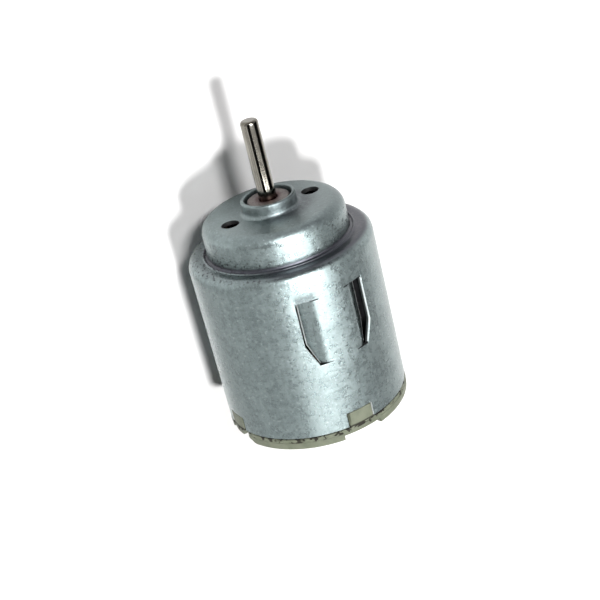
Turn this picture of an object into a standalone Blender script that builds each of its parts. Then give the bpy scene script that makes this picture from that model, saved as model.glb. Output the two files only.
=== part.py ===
"""A small brushed DC motor with its case, magnets, rotor, commutator, brushes and end bell.

The motor lies on its side. Its origin is on the shaft's axis, at the front mounting face. The shaft points
along -Y, the two screw holes lie on the X axis, and the case's windows look up along +Z.

Every piece is modelled standing up, with the shaft along its own +Z, under an empty that lays the motor down.
"""

import math

import bmesh
import bpy
from mathutils import Matrix, Vector

MM = 0.001

# Case: a drawn steel cup, open at the rear. Heights are along the shaft from the front mounting face.
CAN_RADIUS = 10.5 * MM
CAN_SHEET = 0.5 * MM
CAN_REAR = -23.6 * MM
CAN_CORNER = 1.1 * MM
NOSE_RADIUS = 8.1 * MM
NOSE_EDGE = 1.4 * MM
NOSE_FOOT = 0.3 * MM
SHOULDER = -3.8 * MM
BOSS_RADIUS = 3.1 * MM
BOSS_HEIGHT = 1.5 * MM
BOSS_SHEET = 0.4 * MM
BOSS_FOOT = 0.45 * MM
SCREW_PITCH = 10.15 * MM
SCREW_HOLE_RADIUS = 1.0 * MM

# Windows: two tabs cut on three sides and bent inwards about the side nearest the top of the case
WINDOW_HINGE = math.radians(8.5)
WINDOW_FREE = math.radians(22.3)
WINDOW_TAPER = math.radians(15.0)
WINDOW_TOP = -7.25 * MM
WINDOW_KNEE = -12.0 * MM
WINDOW_FOOT = -15.0 * MM
TAB_BEND = math.radians(36.0)
TAB_SHEET = 0.4 * MM
TAB_KERF = 0.1 * MM

# Notches in the case's rear edge, each filled by a lug of the end bell
NOTCHES = 4
NOTCH_HALF_ANGLE = math.radians(8.9)
NOTCH_HEIGHT = 1.75 * MM

# End bell
BELL_FLANGE_RADIUS = 10.6 * MM
BELL_FLANGE_FRONT = -23.75 * MM
BELL_REAR = -24.5 * MM
FOOT_REAR = -25.0 * MM
FOOT_WIDTH = 1.4 * MM
TOP_GAP_HALF_ANGLE = math.radians(13.0)
SIDE_GAP_HALF_ANGLE = math.radians(10.0)
TOP_LUG_HALF_ANGLE = math.radians(8.3)
SIDE_LUG_HALF_ANGLE = math.radians(7.2)
SPIGOT_RADIUS = 9.8 * MM
SPIGOT_WALL = 0.8 * MM
SPIGOT_FRONT = -20.6 * MM
BELL_FLOOR = -23.5 * MM
HUB_RADIUS = 3.2 * MM
HUB_FRONT = -23.3 * MM
HUB_REAR = -26.4 * MM

# Shaft and bearings
SHAFT_RADIUS = 1.0 * MM
SHAFT_TIP = 10.3 * MM
SHAFT_REAR = -26.1 * MM
SHAFT_EDGE = 0.25 * MM
RUNNING_GAP = 0.05 * MM
FRONT_BEARING = (2.45 * MM, 1.22 * MM, -1.8 * MM)
REAR_BEARING = (2.1 * MM, -23.5 * MM, -26.2 * MM)

# Magnets and their clip
MAGNET_INNER = 7.75 * MM
MAGNET_OUTER = 9.85 * MM
MAGNET_FRONT = -5.8 * MM
MAGNET_REAR = -18.8 * MM
MAGNET_HALF_ANGLE = math.radians(65.0)
CLIP_SHEET = 0.3 * MM
CLIP_LEG = 1.7 * MM
CLIP_HALF_ANGLE = math.radians(22.8)
CLIP_LENGTH = 9.0 * MM

# Rotor core: a stack of three-pole laminations
POLES = 3
LAMINATIONS = 12
LAMINATION_SHEET = 0.5 * MM
LAMINATION_PITCH = 0.55 * MM
CORE_FRONT = -8.8 * MM
CORE_RADIUS = 7.2 * MM
CORE_HUB_RADIUS = 2.4 * MM
SHOE_HALF_ANGLE = math.radians(50.0)
SHOE_INNER = 6.3 * MM
NECK_HALF_WIDTH = 1.2 * MM
CORE_LENGTH = LAMINATION_PITCH * (LAMINATIONS - 1) + LAMINATION_SHEET

# Insulators and coils
INSULATOR_SHEET = 0.4 * MM
INSULATOR_REACH = 5.9 * MM
INSULATOR_HALF_WIDTH = 1.35 * MM
LAYER_GAP = 0.1 * MM
COIL_INNER_HALF_WIDTH = 1.45 * MM
COIL_THICKNESS = 1.7 * MM
COIL_CORNER = 0.9 * MM
COIL_NEAR = 2.7 * MM
COIL_FAR = 5.35 * MM

# Commutator
COMMUTATOR_FLANGE_RADIUS = 3.6 * MM
COMMUTATOR_FLANGE_FRONT = -18.6 * MM
COMMUTATOR_FLANGE_REAR = -19.1 * MM
COMMUTATOR_REAR = -22.9 * MM
COMMUTATOR_BASE_RADIUS = 1.9 * MM
SEGMENT_INNER = 1.95 * MM
SEGMENT_OUTER = 2.35 * MM
SEGMENT_HALF_ANGLE = math.radians(55.0)
SEGMENT_FRONT = -19.2 * MM
SEGMENT_REAR = -22.7 * MM
TANG_REACH = 4.3 * MM
TANG_HALF_WIDTH = 0.5 * MM
TANG_SHEET = 0.3 * MM
COLLAR_RADIUS = 2.85 * MM
COLLAR_FRONT = -22.25 * MM
COLLAR_REAR = -22.65 * MM

# Spacer and thrust washers on the shaft
SPACER_RADIUS = 1.8 * MM
SPACER_SPAN = (-2.45 * MM, -8.1 * MM)
WASHER_RADIUS = 2.0 * MM
FRONT_WASHER_SPAN = (-1.95 * MM, -2.3 * MM)
REAR_WASHER_SPAN = (-23.0 * MM, -23.2 * MM)

# Brush gear, one set on each side of the commutator
BRUSH_FACE = 2.45 * MM
BRUSH_THICKNESS = 1.5 * MM
BRUSH_HEIGHT = 1.7 * MM
BRUSH_SPAN = (-20.15 * MM, -21.95 * MM)
ARM_SHEET = 0.2 * MM
ARM_SPAN = (-19.95 * MM, -22.15 * MM)
ARM_ROOT = -6.1 * MM
ARM_TIP = 1.1 * MM
ARM_PIVOT = -5.2 * MM
ARM_OFFSET = 4.1 * MM
TERMINAL_OFFSET = 4.6 * MM
TERMINAL_SHEET = 0.4 * MM
TERMINAL_SIDE = (-6.3 * MM, -4.1 * MM)
TERMINAL_SPAN = (-20.4 * MM, -27.9 * MM)
TERMINAL_HOLE_RADIUS = 0.5 * MM
TERMINAL_HOLE_HEIGHT = -26.9 * MM
TERMINAL_SLOT_GAP = 0.15 * MM

# How finely round shapes are divided
CAN_SIDES = 52
RING_SIDES = 24
SHAFT_SIDES = 24
PLATE_BORE_SIDES = 12
HOLE_SIDES = 16
ARC_STEPS = 2
OVERSHOOT = 1.0 * MM

MATERIALS = {
    "zinc_steel": ((0.36, 0.39, 0.39), 0.38, 0.9),
    "shaft_steel": ((0.52, 0.51, 0.48), 0.2, 1.0),
    "bearing_bronze": ((0.27, 0.19, 0.13), 0.55, 0.8),
    "ivory_plastic": ((0.50, 0.50, 0.38), 0.5, 0.0),
    "ferrite": ((0.05, 0.05, 0.055), 0.7, 0.0),
    "spring_steel": ((0.42, 0.42, 0.43), 0.35, 1.0),
    "core_steel": ((0.3, 0.31, 0.33), 0.45, 1.0),
    "green_insulator": ((0.05, 0.22, 0.12), 0.5, 0.0),
    "enamelled_copper": ((0.55, 0.2, 0.06), 0.3, 0.8),
    "copper": ((0.72, 0.36, 0.2), 0.3, 1.0),
    "phenolic": ((0.09, 0.05, 0.035), 0.5, 0.0),
    "nylon": ((0.75, 0.74, 0.7), 0.45, 0.0),
    "brass": ((0.68, 0.5, 0.22), 0.3, 1.0),
    "phosphor_bronze": ((0.62, 0.4, 0.22), 0.3, 1.0),
    "carbon": ((0.03, 0.03, 0.032), 0.6, 0.0),
}


def clear_scene():
    for obj in list(bpy.data.objects):
        bpy.data.objects.remove(obj, do_unlink=True)


def make_materials():
    made = {}
    for name, (colour, roughness, metallic) in MATERIALS.items():
        material = bpy.data.materials.new(name)
        material.use_nodes = True
        shader = material.node_tree.nodes["Principled BSDF"]
        shader.inputs["Base Color"].default_value = (*colour, 1.0)
        shader.inputs["Roughness"].default_value = roughness
        shader.inputs["Metallic"].default_value = metallic
        made[name] = material
    return made


def add_empty(name, parent=None, location=(0, 0, 0), rotation=(0, 0, 0)):
    empty = bpy.data.objects.new(name, None)
    empty.location = location
    empty.rotation_euler = rotation
    empty.parent = parent
    bpy.context.scene.collection.objects.link(empty)
    return empty


def add_object(name, mesh, material, parent, location=(0, 0, 0), turn=0.0):
    """Puts a mesh in the scene as a piece, turned about the shaft's direction."""
    obj = bpy.data.objects.new(name, mesh)
    if not mesh.materials:
        mesh.materials.append(material)
    obj.location = location
    obj.rotation_euler = (0, 0, turn)
    obj.parent = parent
    bpy.context.scene.collection.objects.link(obj)
    return obj


def add_cutter(name, mesh, parent):
    cutter = bpy.data.objects.new(name, mesh)
    cutter.parent = parent
    cutter.hide_render = True
    cutter.display_type = "WIRE"
    bpy.context.scene.collection.objects.link(cutter)
    return cutter


def combine(obj, other, operation):
    modifier = obj.modifiers.new(f"{operation.lower()}_{other.name}", "BOOLEAN")
    modifier.operation = operation
    modifier.solver = "EXACT"
    modifier.object = other


def finished_mesh(name, shape, smooth=True):
    """A mesh from a bmesh, with its faces turned outwards."""
    bmesh.ops.recalc_face_normals(shape, faces=shape.faces)
    mesh = bpy.data.meshes.new(name)
    shape.to_mesh(mesh)
    shape.free()
    if smooth:
        mesh.shade_smooth()
        mesh.set_sharp_from_angle(angle=math.radians(35))
    return mesh


def arc(centre, radius, start, end, steps=ARC_STEPS):
    """Points round part of a circle, both ends included. Angles are in degrees."""
    points = []
    for i in range(steps + 1):
        angle = math.radians(start + (end - start) * i / steps)
        points.append((centre[0] + radius * math.cos(angle), centre[1] + radius * math.sin(angle)))
    return points


def circle(centre, radius, sides=HOLE_SIDES):
    """A whole circle whose corners stay off the lines through its centre, where other edges run."""
    half = 180 / sides
    return arc(centre, radius, half, 360 - half, sides - 1)


def ring(shape, radius, height, sides):
    return [
        shape.verts.new(
            (
                radius * math.cos(2 * math.pi * i / sides),
                radius * math.sin(2 * math.pi * i / sides),
                height,
            )
        )
        for i in range(sides)
    ]


def bridge(shape, first, second):
    for i in range(len(first)):
        j = (i + 1) % len(first)
        shape.faces.new((first[i], first[j], second[j], second[i]))


def turned(name, profile, sides, hollow=True):
    """A turned shape. A hollow one closes its profile on itself, and a full one is capped at both ends."""
    shape = bmesh.new()
    rings = [ring(shape, radius, height, sides) for radius, height in profile]
    for first, second in zip(rings, rings[1:]):
        bridge(shape, first, second)
    if hollow:
        bridge(shape, rings[-1], rings[0])
    else:
        shape.faces.new(rings[0])
        shape.faces.new(rings[-1])
    return finished_mesh(name, shape)


def add_prism(shape, outline, low, high, place=Matrix.Identity(4)):
    """Adds an outline stretched along Z to a bmesh, then moved into place."""
    bottom = [shape.verts.new(place @ Vector((x, y, low))) for x, y in outline]
    top = [shape.verts.new(place @ Vector((x, y, high))) for x, y in outline]
    bridge(shape, bottom, top)
    shape.faces.new(bottom)
    shape.faces.new(top)


def prism(name, outline, low, high, smooth=True):
    shape = bmesh.new()
    add_prism(shape, outline, low, high)
    return finished_mesh(name, shape, smooth)


def tube(name, outer, inner, span, sides=RING_SIDES):
    high, low = span
    return turned(name, [(inner, high), (outer, high), (outer, low), (inner, low)], sides)


def sector_outline(inner, outer, half_angle, centre=0.0, steps=6):
    """The outline of a piece of a ring, centred on an angle in radians."""
    start = math.degrees(centre - half_angle)
    end = math.degrees(centre + half_angle)
    return arc((0, 0), outer, start, end, steps) + arc((0, 0), inner, end, start, steps)


def can_profile():
    """The sheet's section from the boss's mouth over the outside to the rear edge, and back along the inside."""
    nose_centre = (NOSE_RADIUS - NOSE_EDGE, -NOSE_EDGE)
    foot_centre = (NOSE_RADIUS + NOSE_FOOT, SHOULDER + NOSE_FOOT)
    corner_centre = (CAN_RADIUS - CAN_CORNER, SHOULDER - CAN_CORNER)
    boss_centre = (BOSS_RADIUS + BOSS_FOOT, BOSS_FOOT)
    rim = 0.12 * MM
    inner_boss = BOSS_RADIUS - BOSS_SHEET
    boss_inside = BOSS_FOOT + BOSS_SHEET
    outside = [
        (inner_boss, BOSS_HEIGHT),
        (BOSS_RADIUS - rim, BOSS_HEIGHT),
        (BOSS_RADIUS, BOSS_HEIGHT - rim),
        *arc(boss_centre, BOSS_FOOT, 180, 270),
        *arc(nose_centre, NOSE_EDGE, 90, 0, 4),
        *arc(foot_centre, NOSE_FOOT, 180, 270),
        *arc(corner_centre, CAN_CORNER, 90, 0, 3),
        (CAN_RADIUS, CAN_REAR),
    ]
    inside = [
        (CAN_RADIUS - CAN_SHEET, CAN_REAR),
        *arc(corner_centre, CAN_CORNER - CAN_SHEET, 0, 90),
        *arc(foot_centre, NOSE_FOOT + CAN_SHEET, 270, 180),
        *arc(nose_centre, NOSE_EDGE - CAN_SHEET, 0, 90),
        *arc((inner_boss + boss_inside, boss_inside - CAN_SHEET), boss_inside, 270, 180),
    ]
    return outside + inside


def window_outline():
    """One window, seen from above: (distance from the top line, height) at its corners."""
    hinge = CAN_RADIUS * math.sin(WINDOW_HINGE)
    free = CAN_RADIUS * math.sin(WINDOW_FREE)
    taper = CAN_RADIUS * math.sin(WINDOW_TAPER)
    return [
        (hinge, WINDOW_TOP),
        (free, WINDOW_TOP),
        (free, WINDOW_KNEE),
        (taper, WINDOW_FOOT),
        (hinge, WINDOW_FOOT),
    ]


def window_cutters():
    """Both windows, the two screw holes and the rear notches, as one set of shapes to cut away."""
    shape = bmesh.new()
    stand = Matrix.Rotation(math.radians(90), 4, "X")
    for side in (1, -1):
        outline = [(side * x, z) for x, z in window_outline()]
        add_prism(shape, outline, -CAN_RADIUS - OVERSHOOT, -CAN_RADIUS + 2 * OVERSHOOT, stand)
        centre = (side * SCREW_PITCH / 2, 0)
        add_prism(shape, circle(centre, SCREW_HOLE_RADIUS), -OVERSHOOT, OVERSHOOT)
    for i in range(NOTCHES):
        outline = sector_outline(
            CAN_RADIUS - CAN_SHEET - OVERSHOOT,
            CAN_RADIUS + OVERSHOOT,
            NOTCH_HALF_ANGLE,
            2 * math.pi * i / NOTCHES,
            2,
        )
        add_prism(shape, outline, CAN_REAR - OVERSHOOT, CAN_REAR + NOTCH_HEIGHT)
    return finished_mesh("can_cuts", shape, smooth=False)


def window_tabs():
    """Both tabs: flat plates that lean inwards from the hinge side of their windows."""
    shape = bmesh.new()
    hinge = CAN_RADIUS * math.sin(WINDOW_HINGE)
    middle = CAN_RADIUS - CAN_SHEET + 0.1 * MM
    root = Vector((middle * math.sin(WINDOW_HINGE), middle * math.cos(WINDOW_HINGE), 0))
    overlap = 0.2 * MM
    outline = [(max(x - hinge - TAB_KERF, 0), z) for x, z in window_outline()]
    outline = [(u if u else -overlap, z) for u, z in outline]
    top = WINDOW_TOP - TAB_KERF
    foot = WINDOW_FOOT + TAB_KERF
    outline = [(u, min(max(z, foot), top)) for u, z in outline]
    for side in (1, -1):
        along = Vector((side * math.cos(TAB_BEND), -math.sin(TAB_BEND), 0))
        through = Vector((side * math.sin(TAB_BEND), math.cos(TAB_BEND), 0))
        place = Matrix.Translation((side * root.x, root.y, 0)) @ Matrix(
            (
                (along.x, 0, through.x, 0),
                (along.y, 0, through.y, 0),
                (0, 1, 0, 0),
                (0, 0, 0, 1),
            )
        )
        add_prism(shape, outline, -TAB_SHEET / 2, TAB_SHEET / 2, place)
    return finished_mesh("can_tabs", shape, smooth=False)


def add_can(frame, materials):
    can = add_object("can", turned("can", can_profile(), CAN_SIDES), materials["zinc_steel"], frame)
    combine(can, add_cutter("can_cuts", window_cutters(), frame), "DIFFERENCE")
    combine(can, add_cutter("can_tabs", window_tabs(), frame), "UNION")


def add_bearings(frame, materials):
    bore = SHAFT_RADIUS + RUNNING_GAP
    for name, (radius, high, low) in (("front_bearing", FRONT_BEARING), ("rear_bearing", REAR_BEARING)):
        bevel = 0.15 * MM
        profile = [
            (bore, high),
            (radius - bevel, high),
            (radius, high - bevel),
            (radius, low + bevel),
            (radius - bevel, low),
            (bore, low),
        ]
        add_object(name, turned(name, profile, RING_SIDES), materials["bearing_bronze"], frame)


def bell_profile():
    inner_hub = REAR_BEARING[0] + 2 * RUNNING_GAP
    spigot_inner = SPIGOT_RADIUS - SPIGOT_WALL
    return [
        (spigot_inner, SPIGOT_FRONT),
        (SPIGOT_RADIUS, SPIGOT_FRONT),
        (SPIGOT_RADIUS, BELL_FLANGE_FRONT),
        (BELL_FLANGE_RADIUS, BELL_FLANGE_FRONT),
        (BELL_FLANGE_RADIUS, BELL_REAR),
        (HUB_RADIUS, BELL_REAR),
        (HUB_RADIUS, HUB_REAR),
        (inner_hub, HUB_REAR),
        (inner_hub, HUB_FRONT),
        (HUB_RADIUS, HUB_FRONT),
        (HUB_RADIUS, BELL_FLOOR),
        (spigot_inner, BELL_FLOOR),
    ]


def side_gaps():
    """The two gaps in the flange, one on each side, where only a lug reaches the rear."""
    shape = bmesh.new()
    inner = SPIGOT_RADIUS + 0.05 * MM
    for centre in (0.0, math.pi):
        outline = sector_outline(inner, BELL_FLANGE_RADIUS + OVERSHOOT, SIDE_GAP_HALF_ANGLE, centre, 3)
        add_prism(shape, outline, BELL_REAR - OVERSHOOT, BELL_FLANGE_FRONT + OVERSHOOT)
    return finished_mesh("side_gaps", shape, smooth=False)


def bell_additions():
    """The lugs that fill the case's notches, and the raised foot segments between the recesses."""
    shape = bmesh.new()
    bite = 0.1 * MM
    for i in range(NOTCHES):
        centre = 2 * math.pi * i / NOTCHES
        on_side = i % 2 == 0
        half_angle = SIDE_LUG_HALF_ANGLE if on_side else TOP_LUG_HALF_ANGLE
        rear = BELL_REAR + bite if on_side else BELL_FLANGE_FRONT - bite
        lug = sector_outline(SPIGOT_RADIUS - 2 * bite, CAN_RADIUS, half_angle, centre, 3)
        add_prism(shape, lug, rear, CAN_REAR + NOTCH_HEIGHT - bite)
        start = centre + (SIDE_GAP_HALF_ANGLE if on_side else TOP_GAP_HALF_ANGLE)
        end = centre + 2 * math.pi / NOTCHES
        end -= TOP_GAP_HALF_ANGLE if on_side else SIDE_GAP_HALF_ANGLE
        outer = BELL_FLANGE_RADIUS
        foot = sector_outline(outer - FOOT_WIDTH, outer, (end - start) / 2, (start + end) / 2, 10)
        add_prism(shape, foot, FOOT_REAR, BELL_REAR + bite)
    return finished_mesh("bell_additions", shape, smooth=False)


def terminal_slots():
    shape = bmesh.new()
    near = TERMINAL_OFFSET - TERMINAL_SLOT_GAP
    far = TERMINAL_OFFSET + TERMINAL_SHEET + TERMINAL_SLOT_GAP
    low, high = TERMINAL_SIDE
    low -= TERMINAL_SLOT_GAP
    high += TERMINAL_SLOT_GAP
    for side in (1, -1):
        outline = [(side * near, low), (side * far, low), (side * far, high), (side * near, high)]
        add_prism(shape, outline, BELL_REAR - OVERSHOOT, BELL_FLOOR + OVERSHOOT)
    return finished_mesh("terminal_slots", shape, smooth=False)


def add_end_bell(frame, materials):
    mesh = turned("end_bell", bell_profile(), CAN_SIDES)
    bell = add_object("end_bell", mesh, materials["ivory_plastic"], frame)
    combine(bell, add_cutter("side_gaps", side_gaps(), frame), "DIFFERENCE")
    combine(bell, add_cutter("bell_additions", bell_additions(), frame), "UNION")
    combine(bell, add_cutter("terminal_slots", terminal_slots(), frame), "DIFFERENCE")


def add_magnets(frame, materials):
    """Two arcs at the sides of the case, and the spring clip at the bottom that spreads them."""
    for name, centre in (("magnet_right", 0.0), ("magnet_left", math.pi)):
        outline = sector_outline(MAGNET_INNER, MAGNET_OUTER, MAGNET_HALF_ANGLE, centre, 14)
        mesh = prism(name, outline, MAGNET_REAR, MAGNET_FRONT)
        add_object(name, mesh, materials["ferrite"], frame)
    bottom = 270.0
    spread = math.degrees(CLIP_HALF_ANGLE)
    inside = spread - math.degrees(CLIP_SHEET / MAGNET_OUTER)
    leg_end = MAGNET_OUTER - CLIP_LEG
    outline = [
        *arc((0, 0), leg_end, bottom - spread, bottom - inside, 1)[::-1],
        *arc((0, 0), MAGNET_OUTER, bottom - spread, bottom + spread, 8),
        *arc((0, 0), leg_end, bottom + inside, bottom + spread, 1)[::-1],
        *arc((0, 0), MAGNET_OUTER - CLIP_SHEET, bottom + inside, bottom - inside, 8),
    ]
    middle = (MAGNET_FRONT + MAGNET_REAR) / 2
    mesh = prism("magnet_clip", outline, middle - CLIP_LENGTH / 2, middle + CLIP_LENGTH / 2)
    add_object("magnet_clip", mesh, materials["spring_steel"], frame)


def add_shaft(axis, materials):
    profile = [
        (SHAFT_RADIUS - SHAFT_EDGE, SHAFT_TIP),
        (SHAFT_RADIUS, SHAFT_TIP - SHAFT_EDGE),
        (SHAFT_RADIUS, SHAFT_REAR + SHAFT_EDGE),
        (SHAFT_RADIUS - SHAFT_EDGE, SHAFT_REAR),
    ]
    mesh = turned("shaft", profile, SHAFT_SIDES, hollow=False)
    add_object("shaft", mesh, materials["shaft_steel"], axis)


def add_washers(axis, materials):
    bore = SHAFT_RADIUS + RUNNING_GAP
    rings = (
        ("front_spacer", SPACER_RADIUS, SPACER_SPAN),
        ("front_thrust_washer", WASHER_RADIUS, FRONT_WASHER_SPAN),
        ("rear_thrust_washer", WASHER_RADIUS, REAR_WASHER_SPAN),
    )
    for name, radius, span in rings:
        add_object(name, tube(name, radius, bore, span), materials["nylon"], axis)


def pole_outline(hub_radius, half_width, shoe=None):
    """A hub with three arms. A shoe is the (inner radius, outer radius, half angle) of each arm's end."""
    outline = []
    hub_angle = math.asin(half_width / hub_radius)
    for pole in range(POLES):
        turn = Matrix.Rotation(2 * math.pi * pole / POLES, 2)
        if shoe:
            inner, outer, half_angle = shoe
            neck_angle = math.degrees(math.asin(half_width / inner))
            spread = math.degrees(half_angle)
            end = [
                *arc((0, 0), inner, -neck_angle, -spread),
                *arc((0, 0), outer, -spread, spread, 6),
                *arc((0, 0), inner, spread, neck_angle),
            ]
        else:
            end = [(INSULATOR_REACH, -half_width), (INSULATOR_REACH, half_width)]
        between = math.pi / POLES
        start = math.degrees(hub_angle)
        stop = math.degrees(2 * between - hub_angle)
        hub = arc((0, 0), hub_radius, start, stop)
        outline += [tuple(turn @ Vector(point)) for point in [*end, *hub]]
    return outline


def with_bore(name, outline, low, high):
    """A flat plate with a round hole in its middle, made by joining its outline to the hole's edge."""
    shape = bmesh.new()
    bore = SHAFT_RADIUS + RUNNING_GAP
    loops = []
    for height in (low, high):
        outer = [shape.verts.new((x, y, height)) for x, y in outline]
        inner = ring(shape, bore, height, PLATE_BORE_SIDES)
        edges = []
        for loop in (outer, inner):
            for i in range(len(loop)):
                edges.append(shape.edges.new((loop[i], loop[(i + 1) % len(loop)])))
        bmesh.ops.triangle_fill(shape, use_beauty=True, use_dissolve=False, edges=edges)
        loops.append((outer, inner))
    (outer_low, inner_low), (outer_high, inner_high) = loops
    bridge(shape, outer_low, outer_high)
    bridge(shape, inner_high, inner_low)
    return finished_mesh(name, shape, smooth=False)


def add_core(axis, materials):
    shoe = (SHOE_INNER, CORE_RADIUS, SHOE_HALF_ANGLE)
    outline = pole_outline(CORE_HUB_RADIUS, NECK_HALF_WIDTH, shoe)
    plate = with_bore("lamination", outline, -LAMINATION_SHEET, 0)
    for i in range(LAMINATIONS):
        place = (0, 0, CORE_FRONT - i * LAMINATION_PITCH)
        add_object(f"lamination_{i + 1:02d}", plate, materials["core_steel"], axis, place)
    outline = pole_outline(CORE_HUB_RADIUS, INSULATOR_HALF_WIDTH)
    plate = with_bore("insulator", outline, -INSULATOR_SHEET, 0)
    front = CORE_FRONT + LAYER_GAP + INSULATOR_SHEET
    rear = CORE_FRONT - CORE_LENGTH - LAYER_GAP
    for name, height in (("front_insulator", front), ("rear_insulator", rear)):
        add_object(name, plate, materials["green_insulator"], axis, (0, 0, height))


def rounded_rectangle(half_width, half_height, corner):
    points = []
    for index, (x, y) in enumerate(((1, 1), (-1, 1), (-1, -1), (1, -1))):
        centre = (x * (half_width - corner), y * (half_height - corner))
        points += arc(centre, corner, 90 * index, 90 * (index + 1))
    return points


def coil_mesh():
    """One winding: a rounded frame round a pole's neck, with the neck along X and the core's height along Z."""
    shape = bmesh.new()
    inner_height = CORE_LENGTH / 2 + INSULATOR_SHEET + 2 * LAYER_GAP
    middle = CORE_FRONT - CORE_LENGTH / 2
    inner = rounded_rectangle(COIL_INNER_HALF_WIDTH, inner_height, 0.1 * MM)
    outer = rounded_rectangle(
        COIL_INNER_HALF_WIDTH + COIL_THICKNESS, inner_height + COIL_THICKNESS, COIL_CORNER
    )
    loops = []
    for distance in (COIL_NEAR, COIL_FAR):
        for outline in (inner, outer):
            loops.append([shape.verts.new((distance, y, middle + z)) for y, z in outline])
    near_inner, near_outer, far_inner, far_outer = loops
    bridge(shape, near_inner, near_outer)
    bridge(shape, near_outer, far_outer)
    bridge(shape, far_outer, far_inner)
    bridge(shape, far_inner, near_inner)
    return finished_mesh("coil", shape)


def add_coils(axis, materials):
    mesh = coil_mesh()
    for i in range(POLES):
        turn = 2 * math.pi * i / POLES
        add_object(f"coil_{i + 1}", mesh, materials["enamelled_copper"], axis, turn=turn)


def segment_mesh():
    """A third of the commutator's barrel, with the tang that its wires are welded to."""
    shape = bmesh.new()
    steps = 8
    spread = math.degrees(SEGMENT_HALF_ANGLE)
    tang_angle = math.degrees(math.asin(TANG_HALF_WIDTH / SEGMENT_OUTER))
    barrel = sector_outline(SEGMENT_INNER, SEGMENT_OUTER, SEGMENT_HALF_ANGLE, 0.0, steps)
    tang = [
        *arc((0, 0), SEGMENT_OUTER, -spread, -tang_angle, 3),
        (TANG_REACH, -TANG_HALF_WIDTH),
        (TANG_REACH, TANG_HALF_WIDTH),
        *arc((0, 0), SEGMENT_OUTER, tang_angle, spread, 3),
        *arc((0, 0), SEGMENT_INNER, spread, -spread, steps),
    ]
    add_prism(shape, tang, SEGMENT_FRONT - TANG_SHEET, SEGMENT_FRONT)
    top = finished_mesh("segment_top", shape, smooth=False)
    shape = bmesh.new()
    add_prism(shape, barrel, SEGMENT_REAR, SEGMENT_FRONT - TANG_SHEET / 2)
    return finished_mesh("segment_barrel", shape), top


def add_commutator(axis, materials):
    bore = SHAFT_RADIUS + RUNNING_GAP
    profile = [
        (bore, COMMUTATOR_FLANGE_FRONT),
        (COMMUTATOR_FLANGE_RADIUS, COMMUTATOR_FLANGE_FRONT),
        (COMMUTATOR_FLANGE_RADIUS, COMMUTATOR_FLANGE_REAR),
        (COMMUTATOR_BASE_RADIUS, COMMUTATOR_FLANGE_REAR),
        (COMMUTATOR_BASE_RADIUS, COMMUTATOR_REAR),
        (bore, COMMUTATOR_REAR),
    ]
    mesh = turned("commutator_base", profile, RING_SIDES)
    add_object("commutator_base", mesh, materials["phenolic"], axis)
    barrel, top = segment_mesh()
    for i in range(POLES):
        turn = 2 * math.pi * (i + 0.5) / POLES
        name = f"commutator_segment_{i + 1}"
        segment = add_object(name, barrel, materials["copper"], axis, turn=turn)
        tang = add_cutter(f"tang_{i + 1}", top, axis)
        tang.rotation_euler = (0, 0, turn)
        combine(segment, tang, "UNION")
    span = (COLLAR_FRONT, COLLAR_REAR)
    mesh = tube("commutator_collar", COLLAR_RADIUS, SEGMENT_OUTER + RUNNING_GAP, span)
    add_object("commutator_collar", mesh, materials["phenolic"], axis)


def box_mesh(name, low, high):
    outline = [(low[0], low[1]), (high[0], low[1]), (high[0], high[1]), (low[0], high[1])]
    return prism(name, outline, low[2], high[2], smooth=False)


def add_brush_gear(frame, materials):
    """On each side a solder terminal in the end bell, and a leaf spring with a carbon brush on its free end."""
    for side, word in ((1, "right"), (-1, "left")):
        pivot_x = side * (ARM_OFFSET + ARM_SHEET / 2)
        height = (ARM_SPAN[0] + ARM_SPAN[1]) / 2
        pivot = add_empty(f"brush_pivot_{word}", frame, (pivot_x, ARM_PIVOT, height))

        half_sheet = ARM_SHEET / 2
        half_width = (ARM_SPAN[0] - ARM_SPAN[1]) / 2
        low = (-half_sheet, ARM_ROOT - ARM_PIVOT, -half_width)
        high = (half_sheet, ARM_TIP - ARM_PIVOT, half_width)
        mesh = box_mesh(f"brush_arm_{word}", low, high)
        add_object(f"brush_arm_{word}", mesh, materials["phosphor_bronze"], pivot)

        near = side * BRUSH_FACE - pivot_x
        far = side * (BRUSH_FACE + BRUSH_THICKNESS) - pivot_x
        low = (min(near, far), -BRUSH_HEIGHT / 2 - ARM_PIVOT, BRUSH_SPAN[1] - height)
        high = (max(near, far), BRUSH_HEIGHT / 2 - ARM_PIVOT, BRUSH_SPAN[0] - height)
        mesh = box_mesh(f"brush_{word}", low, high)
        add_object(f"brush_{word}", mesh, materials["carbon"], pivot)

        near = side * TERMINAL_OFFSET
        far = side * (TERMINAL_OFFSET + TERMINAL_SHEET)
        low = (min(near, far), TERMINAL_SIDE[0], TERMINAL_SPAN[1])
        high = (max(near, far), TERMINAL_SIDE[1], TERMINAL_SPAN[0])
        mesh = box_mesh(f"terminal_{word}", low, high)
        terminal = add_object(f"terminal_{word}", mesh, materials["brass"], frame)
        combine(terminal, add_terminal_hole(side, word, frame), "DIFFERENCE")


def add_terminal_hole(side, word, frame):
    shape = bmesh.new()
    middle = sum(TERMINAL_SIDE) / 2
    across = Matrix.Translation((side * TERMINAL_OFFSET, middle, TERMINAL_HOLE_HEIGHT))
    across = across @ Matrix.Rotation(math.radians(90), 4, "Y")
    add_prism(shape, circle((0, 0), TERMINAL_HOLE_RADIUS), -OVERSHOOT, OVERSHOOT, across)
    return add_cutter(f"terminal_hole_{word}", finished_mesh("terminal_hole", shape), frame)


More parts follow.
